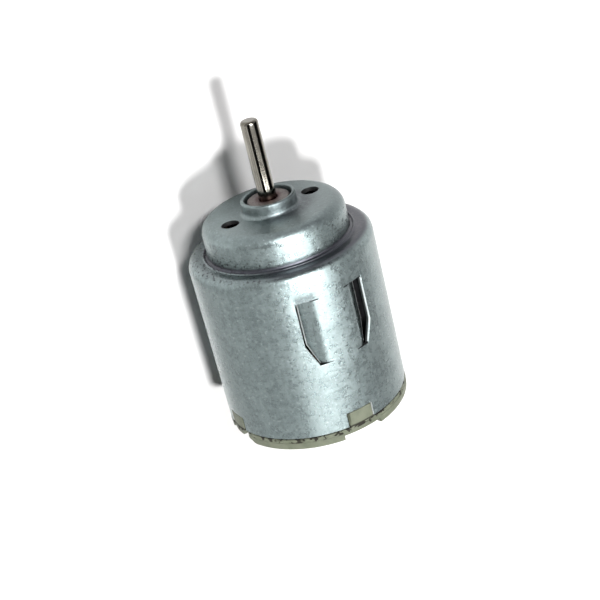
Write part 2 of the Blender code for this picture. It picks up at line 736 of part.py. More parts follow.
def main():
    clear_scene()
    materials = make_materials()
    frame = add_empty("motor_frame", rotation=(math.radians(90), 0, 0))
    rotor_axis = add_empty("rotor_axis", frame)
    add_can(frame, materials)
    add_bearings(frame, materials)
    add_end_bell(frame, materials)
    add_magnets(frame, materials)
    add_brush_gear(frame, materials)
    add_shaft(rotor_axis, materials)
    add_washers(rotor_axis, materials)
    add_core(rotor_axis, materials)
    add_coils(rotor_axis, materials)
    add_commutator(rotor_axis, materials)


main()
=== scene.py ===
"""Looks for a small brushed DC motor: finer meshes, finishes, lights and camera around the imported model.

Shapes are worked out standing up, with the shaft along +Z and the windows towards +Y, in millimetres, and are
laid down into the motor's own frame at the end. A height is a distance along the shaft from the front face.
"""

from collections import namedtuple
from math import asin, cos, degrees, pi, radians, sin, sqrt

import bmesh
import bpy
from mathutils import Matrix, Vector


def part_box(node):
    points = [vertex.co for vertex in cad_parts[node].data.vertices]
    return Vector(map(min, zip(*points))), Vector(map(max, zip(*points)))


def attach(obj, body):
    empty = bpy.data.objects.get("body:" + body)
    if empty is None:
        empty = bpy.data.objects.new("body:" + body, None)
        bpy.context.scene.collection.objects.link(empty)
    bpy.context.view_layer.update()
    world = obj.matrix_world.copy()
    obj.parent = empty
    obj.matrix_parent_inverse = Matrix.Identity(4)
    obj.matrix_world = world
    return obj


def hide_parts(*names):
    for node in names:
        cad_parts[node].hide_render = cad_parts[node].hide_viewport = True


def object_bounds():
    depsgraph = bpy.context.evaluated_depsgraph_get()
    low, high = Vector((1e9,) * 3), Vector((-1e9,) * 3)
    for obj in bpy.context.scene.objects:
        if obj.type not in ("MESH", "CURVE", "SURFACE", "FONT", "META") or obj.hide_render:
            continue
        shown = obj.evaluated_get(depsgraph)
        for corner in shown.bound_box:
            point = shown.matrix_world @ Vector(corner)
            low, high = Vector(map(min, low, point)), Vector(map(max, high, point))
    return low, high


MM = 0.001
SHARP_ANGLE = radians(35)
BEVEL_ANGLE = radians(50)
SHEARED = 1  # the material index of a sheet's cut edges
ROLLED = 2  # that of the strip along the tabs' free edges, the punch's rolled edge lit up by a painted highlight
LAY_DOWN = Matrix.Scale(MM, 4) @ Matrix.Rotation(radians(90), 4, "X")

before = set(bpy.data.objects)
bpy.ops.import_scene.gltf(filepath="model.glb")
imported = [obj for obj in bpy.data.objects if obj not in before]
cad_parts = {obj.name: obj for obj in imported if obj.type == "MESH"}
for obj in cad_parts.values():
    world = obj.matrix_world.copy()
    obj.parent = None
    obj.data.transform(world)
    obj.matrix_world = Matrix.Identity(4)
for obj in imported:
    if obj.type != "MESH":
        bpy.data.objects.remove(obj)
cad_low, cad_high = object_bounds()

Corner = namedtuple("Corner", "x y z")


def node_span(node):
    """(lowest corner, highest corner) of a CAD node at rest, standing up, in millimetres."""
    low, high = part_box(node)
    corners = (low.x, low.z, -high.y), (high.x, high.z, -low.y)
    return [Corner(*(round(value / MM, 3) for value in corner)) for corner in corners]


can_low, can_high = node_span("can")
bell_low, bell_high = node_span("end_bell")
shaft_low, shaft_high = node_span("shaft")
bearing_low, bearing_high = node_span("front_bearing")
rear_bearing_low, rear_bearing_high = node_span("rear_bearing")

# Case
CAN_RADIUS = can_high.x
CAN_REAR = can_low.z
CAN_SHEET = 0.5
CAN_CORNER = 1.1
NOSE_RADIUS = 8.1
NOSE_EDGE = 1.4
NOSE_FOOT = 0.3
SHOULDER = -3.8
FOOT_BEAD = ((8.4, -3.84), (8.44, -3.79), (8.47, -3.72), (8.52, -3.69))
FOOT_BEAD += ((8.57, -3.71), (8.61, -3.78), (8.68, -3.82), (8.85, -3.81))
BOSS_RADIUS = 3.1
BOSS_SHEET = 0.4
BOSS_HEIGHT = can_high.z
BOSS_FOOT = 0.45
SCREW_PITCH = 10.15
SCREW_HOLE_RADIUS = 1.0

# Windows
WINDOW_HINGE = 8.5
WINDOW_FREE = 23.2
WINDOW_TAPER = 17.0
WINDOW_TOP = -7.25
WINDOW_KNEE = -12.5
WINDOW_FOOT = -15.0
KERF = 0.08
KERF_ANGLE = 0.8
TAB_BENDS = {1: 34.0, -1: 41.0}  # how far each tab is turned in, by its side of the top line
TAB_EASE = 1.0
TAB_SINK = 0.09  # how far the sheet above a window is pulled in

# Rear notches
NOTCH_HALF = 8.9
NOTCH_TOP = CAN_REAR + 1.75

# End bell
FLANGE_RADIUS = bell_high.x
FLANGE_FRONT = -23.75
BELL_REAR = -24.5
FOOT_REAR = -25.0
FOOT_WIDTH = 1.4
SPIGOT_RADIUS = 9.8
SPIGOT_WALL = 0.8
SPIGOT_FRONT = bell_high.z
BELL_FLOOR = -23.5
HUB_RADIUS = 3.2
HUB_FRONT = -23.3
HUB_REAR = bell_low.z
HUB_EDGE = 0.12
BELL_EDGE = 0.25
TOP_GAP = 13.0
SIDE_GAP = 10.0
TOP_LUG = 8.3
SIDE_LUG = 7.2
TERMINAL_SLOT = ((4.45, 5.15), (-6.45, -3.95))
EJECTOR_RING = 6.6
EJECTOR_RADIUS = 0.75
EJECTOR_DEPTH = 0.08

# Bearings and shaft
BEARING_RADIUS = bearing_high.x
SHAFT_RADIUS = shaft_high.x
SHAFT_TIP = shaft_high.z
SHAFT_REAR = shaft_low.z
SHAFT_EDGE = 0.36
RUNNING_GAP = 0.05
BORE = SHAFT_RADIUS + RUNNING_GAP

# Magnets and clip
MAGNET_INNER = 7.75
MAGNET_OUTER = 9.85
MAGNET_HALF = 65
CLIP_SHEET = 0.3
CLIP_RADIUS = MAGNET_OUTER - CLIP_SHEET / 2
CLIP_HALF = 22.8
CLIP_BEND = 0.35
CLIP_LEG = 1.7

# Rotor core, insulators and coils
POLES = 3
LAMINATIONS = 12
LAMINATION_SHEET = 0.5
LAMINATION_PITCH = 0.55
CORE_FRONT = -8.8
CORE_RADIUS = 7.2
CORE_HUB = 2.4
CORE_LENGTH = LAMINATION_PITCH * (LAMINATIONS - 1) + LAMINATION_SHEET
CORE_MIDDLE = CORE_FRONT - CORE_LENGTH / 2
SHOE_HALF = 50.0
SHOE_INNER = 6.3
SHOE_EDGE = 0.12
NECK_HALF = 1.2
POLE_FILLET = 0.3
INSULATOR_SHEET = 0.4
INSULATOR_REACH = 5.9
INSULATOR_HALF = 1.35
LAYER_GAP = 0.1
COIL_INNER_HALF = 1.45
COIL_NEAR = 2.7
COIL_FAR = 5.35
WIRE_RADIUS = 0.13
COIL_TURNS = 9
COIL_LAYERS = 7
LAYER_PITCH = 0.236

# Commutator
SEGMENT_INNER = 1.95
SEGMENT_OUTER = 2.35
SEGMENT_HALF = 55.0
SEGMENT_FRONT = -19.2
SEGMENT_REAR = -22.7
TANG_SHEET = 0.3
TANG_HALF = 0.5
TANG_HOOK = 3.85
TANG_BEND = 0.28
TANG_WIRE = -19.07
COMMUTATOR_FLANGE = 3.6
COMMUTATOR_SLEEVE = 1.9
COMMUTATOR_EDGE = 0.12
FLANGE_SPAN = (-18.6, -19.1)
COMMUTATOR_REAR = -22.9

# Brush gear
ARM_OFFSET = 4.2
ARM_SHEET = 0.2
ARM_SPAN = (-22.15, -19.95)
ARM_MIDDLE = sum(ARM_SPAN) / 2
ARM_ROOT = -6.1
ARM_PIVOT = -5.2
ARM_SLOT = (-3.9, -1.7, 0.28)  # its two ends and its radius
BRUSH_HALF = 0.85
BRUSH_BACK = 4.05
BRUSH_SPAN = (-21.95, -20.15)
BRUSH_CURVE = 2.41
TERMINAL_NEAR = 4.6
TERMINAL_FAR = 5.0
TERMINAL_CORNER = 0.75
TERMINAL_SHOULDER = -23.3
TERMINAL_HOLE = (-26.9, 0.5)  # its height and its radius


# ---- shapes


def spread(start, end, count):
    """Evenly spaced values from start to end, both included."""
    return [start + (end - start) * i / count for i in range(count + 1)]


def polar(radius, angle, centre=(0, 0)):
    """The point at a distance from a centre, and at an angle in degrees."""
    turn = radians(angle)
    return centre[0] + radius * cos(turn), centre[1] + radius * sin(turn)


def arc(centre, radius, start, end, steps):
    """Points round part of a circle, both ends included."""
    return [polar(radius, angle, centre) for angle in spread(start, end, steps)]


def smoothstep(t):
    t = min(max(t, 0.0), 1.0)
    return t * t * (3 - 2 * t)


def bridge(shape, first, second):
    for i in range(len(first)):
        j = (i + 1) % len(first)
        shape.faces.new((first[i], first[j], second[j], second[i]))


def skin(shape, loops):
    """Joins each loop to the next one, and closes both ends."""
    for first, second in zip(loops, loops[1:]):
        bridge(shape, first, second)
    shape.faces.new(loops[0])
    shape.faces.new(loops[-1])
    return shape


def turned(profile, sides, turn=0.0):
    """A turned shape. A profile that starts on the axis ends there too. Any other one closes on itself."""
    shape = bmesh.new()
    full = profile[0][0] == 0
    tips = [shape.verts.new((0, 0, profile[i][1])) for i in (0, -1)] if full else []
    rings = []
    for r, s in profile[1:-1] if full else profile:
        circumference = arc((0, 0), r, turn, 360 + turn, sides)[:-1]
        rings.append([shape.verts.new((x, y, s)) for x, y in circumference])
    for first, second in zip(rings, rings[1:] + ([] if full else rings[:1])):
        bridge(shape, first, second)
    for tip, loop in zip(tips, (rings[0], rings[-1])):
        for i in range(sides):
            shape.faces.new((tip, loop[i], loop[(i + 1) % sides]))
    return shape


def plate(outline, holes, low, high):
    """A flat plate with holes through it, stretched along Z."""
    shape = bmesh.new()
    levels = []
    for height in (low, high):
        loops = []
        edges = []
        for line in (outline, *holes):
            loop = [shape.verts.new((x, y, height)) for x, y in line]
            edges += [shape.edges.new((loop[i], loop[(i + 1) % len(loop)])) for i in range(len(loop))]
            loops.append(loop)
        if holes:
            bmesh.ops.triangle_fill(shape, use_beauty=True, use_dissolve=False, edges=edges)
        else:
            shape.faces.new(loops[0])
        levels.append(loops)
    for first, second in zip(*levels):
        bridge(shape, first, second)
    return shape


def box_shape(low, high):
    return plate([(low[0], low[1]), (high[0], low[1]), (high[0], high[1]), (low[0], high[1])], [], low[2], high[2])


def circle(centre, radius, sides):
    half = 180 / sides
    return arc(centre, radius, half, 360 - half, sides - 1)


def rolled(columns, inner, outer):
    """A curved plate between two radii. Each column is (angle from the top line, low height, high height)."""
    shape = bmesh.new()
    loops = []
    for angle, low, high in columns:
        x, y = polar(1, 90 - angle)
        corners = ((inner, low), (outer, low), (outer, high), (inner, high))
        loops.append([shape.verts.new((r * x, r * y, s)) for r, s in corners])
    return skin(shape, loops)


def ribbon(path, thickness, low, high):
    """A bent strip: a line in the XY plane given thickness to both sides, and stretched along Z."""
    shape = bmesh.new()
    points = [Vector(p) for p in path]
    loops = []
    for before, point, after in zip(points[:1] + points, points, points[1:] + points[-1:]):
        ahead = after - point
        behind = point - before
        ahead = (ahead if ahead.length else behind).normalized()
        behind = (behind if behind.length else ahead).normalized()
        along = (ahead + behind).normalized()
        across = Vector((-along.y, along.x)) * thickness / 2 / max(along.dot(ahead), 0.5)
        corners = ((point + across, low), (point - across, low), (point - across, high), (point + across, high))
        loops.append([shape.verts.new((p.x, p.y, s)) for p, s in corners])
    return skin(shape, loops)


def wire(shape, path, sides=7):
    """Adds a round wire along a path, with closed ends."""
    points = [Vector(p) for p in path]
    normal = (points[1] - points[0]).orthogonal().normalized()
    loops = []
    for before, point, after in zip(points[:1] + points, points, points[1:] + points[-1:]):
        along = (after - before).normalized()
        normal = (normal - along * normal.dot(along)).normalized()
        other = along.cross(normal)
        corners = arc((0, 0), WIRE_RADIUS, 0, 360, sides)[:-1]
        loops.append([shape.verts.new(point + normal * a + other * b) for a, b in corners])
    skin(shape, loops)


def moved(shape, matrix):
    bmesh.ops.transform(shape, matrix=matrix, verts=shape.verts)
    return shape


def turn_about_shaft(angle):
    return Matrix.Rotation(radians(angle), 4, "Z")


def mesh_of(shape):
    """A mesh from a bmesh, still standing up and in millimetres, with its faces turned outwards."""
    if isinstance(shape, bpy.types.Mesh):
        return shape
    bmesh.ops.recalc_face_normals(shape, faces=shape.faces)
    mesh = bpy.data.meshes.new("shape")
    for _ in range(ROLLED + 1):
        mesh.materials.append(None)
    shape.to_mesh(mesh)
    shape.free()
    return mesh


def linked(name, data):
    """A new object in the scene."""
    obj = bpy.data.objects.new(name, data)
    bpy.context.scene.collection.objects.link(obj)
    return obj


def joined(shape, shapes, operation):
    """The mesh of a shape with each of the others joined to it or cut from it, in turn."""
    base = linked("base", mesh_of(shape))
    tools = [linked("tool", mesh_of(each)) for each in shapes]
    for tool in tools:
        tool.hide_render = True
        modifier = base.modifiers.new("step", "BOOLEAN")
        modifier.operation = operation
        modifier.solver = "EXACT"
        modifier.object = tool
    bpy.context.view_layer.update()
    result = bpy.data.meshes.new_from_object(base.evaluated_get(bpy.context.evaluated_depsgraph_get()))
    for obj in (base, *tools):
        used = obj.data
        bpy.data.objects.remove(obj)
        bpy.data.meshes.remove(used)
    return result


def give_finish(mesh, materials):
    """Gives a mesh its materials. A face marked beyond the last one takes the last one."""
    indices = [min(p.material_index, len(materials) - 1) for p in mesh.polygons]
    mesh.materials.clear()
    for material in materials:
        mesh.materials.append(material)
    mesh.polygons.foreach_set("material_index", indices)


def add_piece(node, word, shape, slot, edge=0.0, body="motor_frame", segments=2):
    """Lays a standing shape down as a finished piece that stands for a CAD node and rides on a body."""
    mesh = mesh_of(shape)
    mesh.transform(LAY_DOWN)
    mesh.shade_smooth()
    mesh.set_sharp_from_angle(angle=SHARP_ANGLE)
    give_finish(mesh, FINISHES[slot])
    obj = linked(f"{node}_{word}", mesh)
    if edge:
        bevel = obj.modifiers.new("edges", "BEVEL")
        bevel.width = edge * MM
        bevel.segments = segments
        bevel.limit_method = "ANGLE"
        bevel.angle_limit = BEVEL_ANGLE
        bevel.use_clamp_overlap = False
        obj.modifiers.new("normals", "WEIGHTED_NORMAL").keep_sharp = True
    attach(obj, body)
    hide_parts(node)
    return obj


# ---- finishes


class Finish:
    """A procedural material, built up from noises in the object's own coordinates, in millimetres."""

    def __init__(self, name, metallic=0.0):
        self.material = bpy.data.materials.new(name)
        self.material.use_nodes = True
        self.tree = self.material.node_tree
        self.shader = self.tree.nodes["Principled BSDF"]
        self.shader.inputs["Metallic"].default_value = metallic
        self.coords = self.tree.nodes.new("ShaderNodeTexCoord").outputs["Object"]
        self.colour = None
        self.normal = None

    def feed(self, socket, value):
        if isinstance(value, (int, float)):
            socket.default_value = value
        elif isinstance(value, (tuple, list)):
            socket.default_value = (*value, 1) if len(value) < len(socket.default_value) else value
        else:
            self.tree.links.new(value, socket)

    def node(self, kind, sockets, **settings):
        """A new node. Each of its sockets gets a constant or another node's output."""
        made = self.tree.nodes.new(kind)
        for key, value in settings.items():
            setattr(made, key, value)
        for key, value in sockets.items():
            self.feed(made.inputs[key], value)
        return made

    def space(self, stretch=(1, 1, 1)):
        """The object's coordinates in millimetres, stretched along its axes."""
        scale = [1 / MM / s for s in stretch]
        return self.node("ShaderNodeMapping", {"Vector": self.coords, "Scale": scale}).outputs["Vector"]

    def noise(self, size, detail=3.0, rough=0.6, stretch=(1, 1, 1)):
        """Soft patches about this many millimetres across."""
        sockets = {"Vector": self.space(stretch), "Scale": 1 / size, "Detail": detail, "Roughness": rough}
        return self.node("ShaderNodeTexNoise", sockets).outputs["Fac"]

    def cells(self, size):
        return self.node("ShaderNodeTexVoronoi", {"Vector": self.space(), "Scale": 1 / size}).outputs["Distance"]

    def maths(self, operation, first, *others):
        """An operation on one value, or on several in turn."""
        total = first
        for other in others or [None]:
            sockets = {0: total} if other is None else {0: total, 1: other}
            total = self.node("ShaderNodeMath", sockets, operation=operation).outputs[0]
        return total

    def times(self, *values):
        return self.maths("MULTIPLY", *values)

    def plus(self, *values):
        return self.maths("ADD", *values)

    def most(self, *values):
        return self.maths("MAXIMUM", *values)

    def band(self, value, low, high, to_low=0.0, to_high=1.0):
        """The value taken from low..high smoothly to to_low..to_high."""
        sockets = {"Value": value, "From Min": low, "From Max": high, "To Min": to_low, "To Max": to_high}
        return self.node("ShaderNodeMapRange", sockets, interpolation_type="SMOOTHSTEP").outputs["Result"]

    def between(self, value, start, full, last, end):
        """One where the value lies between full and last, and down to zero at start and end."""
        return self.times(self.band(value, start, full), self.band(value, end, last))

    def mix(self, amount, first, second):
        return self.node("ShaderNodeMix", {"Factor": amount, 6: first, 7: second}, data_type="RGBA").outputs[2]

    def shade(self, value, dark, light, low=0.35, high=0.65):
        """Starts with a dark colour where a value is low and a light one where it is high."""
        self.colour = self.mix(self.band(value, low, high), dark, light)

    def paint(self, amount, colour):
        """Lays a colour over what is there, as strongly as the amount says."""
        self.colour = self.mix(amount, self.colour, colour)

    def axis(self, name):
        """One of the object's own coordinates, in millimetres."""
        return self.node("ShaderNodeSeparateXYZ", {"Vector": self.space()}).outputs[name]

    def height(self):
        return self.times(self.axis("Y"), -1.0)

    def from_shaft(self):
        """Distance from the shaft's axis, in millimetres."""
        x, z = self.axis("X"), self.axis("Z")
        return self.maths("SQRT", self.plus(self.times(x, x), self.times(z, z)))

    def bump(self, height, depth):
        """Adds relief whose full range is this many millimetres deep."""
        sockets = {"Distance": depth * MM, "Height": height}
        if self.normal is not None:
            sockets["Normal"] = self.normal
        self.normal = self.node("ShaderNodeBump", sockets).outputs["Normal"]

    def done(self, roughness, **constants):
        sockets = {"Base Color": self.colour, "Roughness": roughness}
        sockets |= {key.replace("_", " "): value for key, value in constants.items()}
        if self.normal is not None:
            sockets["Normal"] = self.normal
        for key, value in sockets.items():
            self.feed(self.shader.inputs[key], value)
        return self.material


def zinc_steel():
    """Drawn steel with a dull zinc plating: mottled, faintly streaked along the draw, with pits and grime, and painted
    shade and dark reflections on its front and shoulder.
    """
    f = Finish("zinc_plated_steel", 1.0)
    across, up, height, radius = f.axis("X"), f.axis("Z"), f.height(), f.from_shaft()
    mottle = f.noise(0.6, 4, 0.7)
    grain = f.noise(0.17, 2)
    streaks = f.noise(0.3, stretch=(1, 10, 1))
    patches = f.noise(3.0, 3, 0.55)
    tone = f.plus(f.times(patches, 0.25), f.times(mottle, 0.4), f.times(streaks, 0.15), f.times(grain, 0.2))
    f.shade(tone, (0.163, 0.201, 0.203), (0.233, 0.283, 0.283), 0.4, 0.6)
    specks = f.band(f.noise(0.3), 0.62, 0.72)
    f.paint(f.times(specks, 0.3), (0.62, 0.70, 0.70))

    # Painted shade on the front face, stronger towards -X, where the face mirrors the shaded floor
    on_face = f.times(f.band(height, -1.3, -0.2), f.band(across, 6.0, -5.0, 0.12, 0.38))
    f.paint(on_face, (0.05, 0.056, 0.06))
    # Painted shade over the dent above the +X window, blotchy with the mottle
    above_tab = f.times(
        f.between(height, WINDOW_TOP - 0.1, WINDOW_TOP + 0.05, -6.9, -6.1),
        f.between(across, 1.7, 2.4, 3.6, 4.3),
        f.band(mottle, 0.35, 0.55, 0.2, 0.6),
        f.band(up, 5.0, 6.0),
    )
    f.paint(above_tab, (0.05, 0.055, 0.06))

    pits = f.band(f.noise(0.42, 1, 0.4, stretch=(1, 1.5, 1)), 0.785, 0.82)
    near_foot = f.times(f.between(height, -4.4, -3.9, -3.1, -1.3), f.band(across, 1.5, 6.0, 0.12, 1.0))
    foot_pits = f.times(f.band(f.noise(0.32, 2), 0.565, 0.63), near_foot)
    on_nose = f.times(f.band(radius, 8.25, 8.15), f.band(height, -0.6, -1.2), f.band(across, -1.5, -3.0))
    dashes = f.times(f.band(f.noise(0.3, 1, 0.4, stretch=(1.8, 0.8, 1.8)), 0.635, 0.665), on_nose)

    waver = f.times(f.plus(f.noise(1.2, 2), -0.5), 0.5)
    line = f.maths("ABSOLUTE", f.plus(height, 1.0, waver))
    span = f.times(f.between(across, 3.4, 3.9, 5.2, 6.0), f.band(up, 2.0, 4.0))
    scratch = f.times(f.band(line, 0.09, 0.03), span)
    line = f.maths("ABSOLUTE", f.plus(across, f.times(height, 0.03), -2.42))
    line = f.plus(line, f.times(f.maths("ABSOLUTE", waver), 0.3))
    span = f.times(f.between(height, -12.6, -11.6, -10.6, -9.4), f.band(up, 5.0, 6.0))
    rub = f.times(f.band(line, 0.06, 0.02), span)
    marks = f.most(f.times(pits, 0.8), foot_pits, dashes, f.times(scratch, 0.7), f.times(rub, 0.4))
    f.paint(f.times(marks, 0.85), (0.03, 0.034, 0.034))

    # Painted shade in the crease round the nose's foot
    groove = f.times(f.between(radius, 8.0, 8.12, 8.54, 8.64), f.band(height, -3.25, -3.6))
    # Painted dark reflection across the shoulder and its corner, fading towards +X
    shoulder = f.times(f.between(radius, 8.5, 8.6, 9.7, 10.35), f.band(height, -4.5, -4.15))
    shoulder = f.times(shoulder, f.band(across, 8.0, 4.0, 0.3, 1.0))
    # Grime with painted shade in a blotchy halo round the boss's foot
    grime_and_shade = f.times(
        f.between(radius, 2.9, 3.3, 3.9, 5.6),
        f.band(f.maths("SUBTRACT", up, across), -1.0, 3.5),
        f.band(f.noise(0.7, 4, 0.7), 0.3, 0.6, 0.35, 1.0),
        f.band(height, -0.6, -0.2),
    )
    # These dark marks are painted shade and painted reflection, with grime round the boss, in one purple-grey
    dull = f.most(f.times(groove, 0.95), f.times(shoulder, 0.95), f.times(grime_and_shade, 0.6))
    f.paint(f.times(dull, 0.9), (0.036, 0.032, 0.044))

    rough = f.plus(f.band(mottle, 0.35, 0.65, 0.25, 0.34), f.band(height, -0.9, -0.3, 0.0, 0.14))
    rough = f.plus(rough, f.times(marks, 0.22), f.times(dull, 0.06))
    f.bump(f.noise(1.6, 2, 0.5), 0.028)
    f.bump(mottle, 0.0145)
    f.bump(f.noise(0.3, 3, 0.7), 0.022)
    f.bump(grain, 0.008)
    f.bump(f.maths("SUBTRACT", 1.0, marks), 0.02)
    return f.done(rough)


def sheared_steel():
    """The sheet's cut edges: burnished near the outer face; behind it, and at the windows' top and foot, fractured
    steel painted near black as the shade inside the slits.
    """
    f = Finish("sheared_steel", 0.25)
    tear = f.noise(0.12)
    f.shade(tear, (0.76, 0.81, 0.82), (0.94, 0.97, 0.97))
    height = f.height()
    # Near black: fractured steel, with painted shade inside the slits
    torn_and_shaded = [f.band(f.from_shaft(), CAN_RADIUS - 0.16, CAN_RADIUS - 0.26)]
    for end in (WINDOW_TOP - KERF, WINDOW_FOOT):
        torn_and_shaded.append(f.band(f.maths("ABSOLUTE", f.plus(height, -end)), 0.16, 0.1))
    f.paint(f.times(f.most(*torn_and_shaded), 0.98), (0.01, 0.011, 0.011))
    f.bump(tear, 0.008)
    return f.done(f.band(tear, 0.3, 0.7, 0.38, 0.55))


def ground_steel():
    """Ground shaft: bright, with faint rings round it, darker and redder at its foot from oil and painted shade."""
    f = Finish("ground_shaft_steel", 1.0)
    height = f.height()
    rings = f.noise(0.09, 2, stretch=(30, 1, 30))
    smear = f.noise(0.9, stretch=(1, 3, 1))
    f.shade(smear, (0.21, 0.20, 0.172), (0.27, 0.26, 0.228), 0.4, 0.65)
    # Darker and redder at its foot: oil, with painted shade where it enters the bearing
    f.paint(f.band(height, 2.4, 1.3, 0.0, 0.75), (0.08, 0.04, 0.032))
    f.paint(f.band(height, SHAFT_TIP - 0.45, SHAFT_TIP - 0.1, 0.0, 0.75), (0.09, 0.083, 0.068))
    f.bump(rings, 0.0015)
    return f.done(f.band(rings, 0.3, 0.7, 0.07, 0.14))


def sintered_bronze():
    """Oil-soaked sintered bronze: dull, brown and grainy, darker round the bore from oil and painted shade, with
    painted shade at its outer edge.
    """
    f = Finish("sintered_bronze", 0.6)
    grain = f.noise(0.08, 3, 0.7)
    pores = f.band(f.cells(0.11), 0.16, 0.28)
    f.shade(f.noise(0.8), (0.095, 0.081, 0.077), (0.155, 0.136, 0.128))
    f.paint(f.times(f.maths("SUBTRACT", 1.0, pores), 0.6), (0.05, 0.035, 0.03))
    # Darker and redder round the bore: oil, with painted shade where the shaft enters
    oil_and_shade = f.band(f.from_shaft(), 1.75, 1.2, 0.0, 0.8)
    f.paint(oil_and_shade, (0.045, 0.012, 0.011))
    # Painted shade in the gap round the bearing's outer edge
    rim = f.band(f.from_shaft(), BEARING_RADIUS - 0.2, BEARING_RADIUS - 0.08, 0.0, 0.9)
    f.paint(rim, (0.015, 0.012, 0.012))
    f.bump(grain, 0.01)
    f.bump(pores, 0.008)
    return f.done(f.band(grain, 0.3, 0.7, 0.45, 0.65))


def ivory_plastic():
    """Moulded ivory plastic, a little greenish, with grime in the seam under the case's edge."""
    f = Finish("ivory_plastic")
    height = f.height()
    patches = f.noise(2.2)
    fine = f.noise(0.3)
    f.shade(patches, (0.135, 0.152, 0.108), (0.182, 0.2, 0.146))
    f.paint(f.band(fine, 0.6, 0.75, 0.0, 0.35), (0.12, 0.13, 0.095))
    reach = f.band(f.noise(0.8, 4, 0.65, stretch=(1, 0.7, 1)), 0.47, 0.6, -0.09, 0.42)
    seam = f.times(f.band(f.plus(height, 23.78, reach), -0.05, 0.08), f.band(height, -23.4, -23.6))
    f.paint(f.times(seam, 0.96), (0.011, 0.009, 0.006))
    rough = f.plus(f.band(fine, 0.3, 0.7, 0.42, 0.58), f.times(seam, 0.35))
    f.bump(patches, 0.02)
    f.bump(f.noise(0.12, 2), 0.003)
    return f.done(rough, Specular_IOR_Level=0.25)


def commutator_copper():
    """Copper, bright with fine rings where the brushes run and browner elsewhere."""
    f = Finish("commutator_copper", 1.0)
    track = f.between(f.height(), -22.05, -21.85, -20.2, -20.0)
    rings = f.noise(0.07, 2, stretch=(30, 1, 30))
    patches = f.noise(0.7)
    f.shade(patches, (0.62, 0.3, 0.17), (0.8, 0.42, 0.26))
    worn = f.mix(f.band(rings, 0.35, 0.65), (0.3, 0.14, 0.09), (0.72, 0.4, 0.27))
    f.paint(f.times(track, 0.8), worn)
    f.bump(f.times(rings, track), 0.006)
    f.bump(patches, 0.006)
    return f.done(f.band(patches, 0.3, 0.7, 0.22, 0.38))


def enamelled_copper():
    """Copper wire under clear reddish enamel."""
    f = Finish("enamelled_copper", 0.85)
    patches = f.noise(0.9)
    f.shade(patches, (0.5, 0.17, 0.05), (0.72, 0.3, 0.1))
    f.bump(f.noise(0.1, 2), 0.003)
    return f.done(f.band(patches, 0.3, 0.7, 0.22, 0.34), Coat_Weight=0.6, Coat_Roughness=0.12)


def core_steel():
    """Punched electrical steel: grey and patchy, with a few rust-brown specks."""
    f = Finish("punched_core_steel", 1.0)
    patches = f.noise(1.1, 4)
    f.shade(patches, (0.26, 0.27, 0.29), (0.42, 0.43, 0.45))
    rust = f.band(f.noise(0.5), 0.64, 0.72, 0.0, 0.6)
    f.paint(rust, (0.2, 0.09, 0.04))
    f.bump(f.noise(0.12, 2, stretch=(8, 1, 1)), 0.004)
    return f.done(f.band(patches, 0.3, 0.7, 0.32, 0.5))


def plain_finish(name, dark, light, patch, rough, relief, metallic, grain, stretch=(1, 1, 1), specular=0.5):
    """A material whose colour, gloss and relief vary over patches and a finer grain."""
    f = Finish(name, metallic)
    patches = f.noise(patch, 4, stretch=stretch)
    fine = f.noise(grain, 3, 0.65, stretch)
    tone = f.plus(f.times(patches, 0.65), f.times(fine, 0.35))
    f.shade(tone, dark, light, 0.36, 0.64)
    f.bump(patches, relief)
    f.bump(fine, relief / 3)
    return f.done(f.band(tone, 0.36, 0.64, *rough), Specular_IOR_Level=specular)


# name: dark and light colours, size of the patches, range of roughness, depth of relief, metallic, size of the grain
PLAIN_FINISHES = {
    # Lighter and less metallic than the zinc: a painted highlight along the tabs' free edges
    "rolled_edge_highlight": ((0.55, 0.6, 0.6), (0.75, 0.8, 0.8), 0.2, (0.3, 0.4), 0.01, 0.4, 0.12),
    # The magnets are darker than real ferrite, as painted shade inside the case
    "ferrite": ((0.006, 0.006, 0.007), (0.018, 0.018, 0.02), 0.9, (0.75, 0.9), 0.02, 0.0, 0.09, (1, 1, 1), 0.06),
    "spring_steel": ((0.3, 0.3, 0.32), (0.5, 0.5, 0.5), 1.2, (0.25, 0.4), 0.006, 1.0, 0.1, (1, 6, 1)),
    "green_insulator": ((0.02, 0.13, 0.06), (0.06, 0.25, 0.12), 0.8, (0.35, 0.55), 0.02, 0.0, 0.1),
    "phenolic": ((0.05, 0.026, 0.018), (0.13, 0.07, 0.045), 0.5, (0.35, 0.55), 0.01, 0.0, 0.08),
    "nylon": ((0.66, 0.65, 0.6), (0.8, 0.79, 0.75), 1.0, (0.35, 0.5), 0.008, 0.0, 0.12),
    "brass": ((0.5, 0.36, 0.15), (0.78, 0.6, 0.3), 1.1, (0.2, 0.38), 0.006, 1.0, 0.08, (1, 7, 1)),
    "phosphor_bronze": ((0.46, 0.27, 0.14), (0.7, 0.46, 0.27), 0.9, (0.22, 0.36), 0.005, 1.0, 0.08, (1, 1, 6)),
    "carbon": ((0.012, 0.012, 0.013), (0.05, 0.05, 0.052), 0.4, (0.45, 0.7), 0.012, 0.1, 0.07),
}


def make_finishes():
    """The materials of each slot."""
    finishes = {name: [plain_finish(name, *row)] for name, row in PLAIN_FINISHES.items()}
    finishes["zinc_steel"] = [zinc_steel(), sheared_steel(), *finishes.pop("rolled_edge_highlight")]
    finishes["bearing_bronze"] = [sintered_bronze()]
    finishes["shaft_steel"] = [ground_steel()]
    finishes["ivory_plastic"] = [ivory_plastic()]
    finishes["core_steel"] = [core_steel()]
    finishes["enamelled_copper"] = [enamelled_copper()]
    finishes["copper"] = [commutator_copper()]
    return finishes


FINISHES = make_finishes()


# ---- case


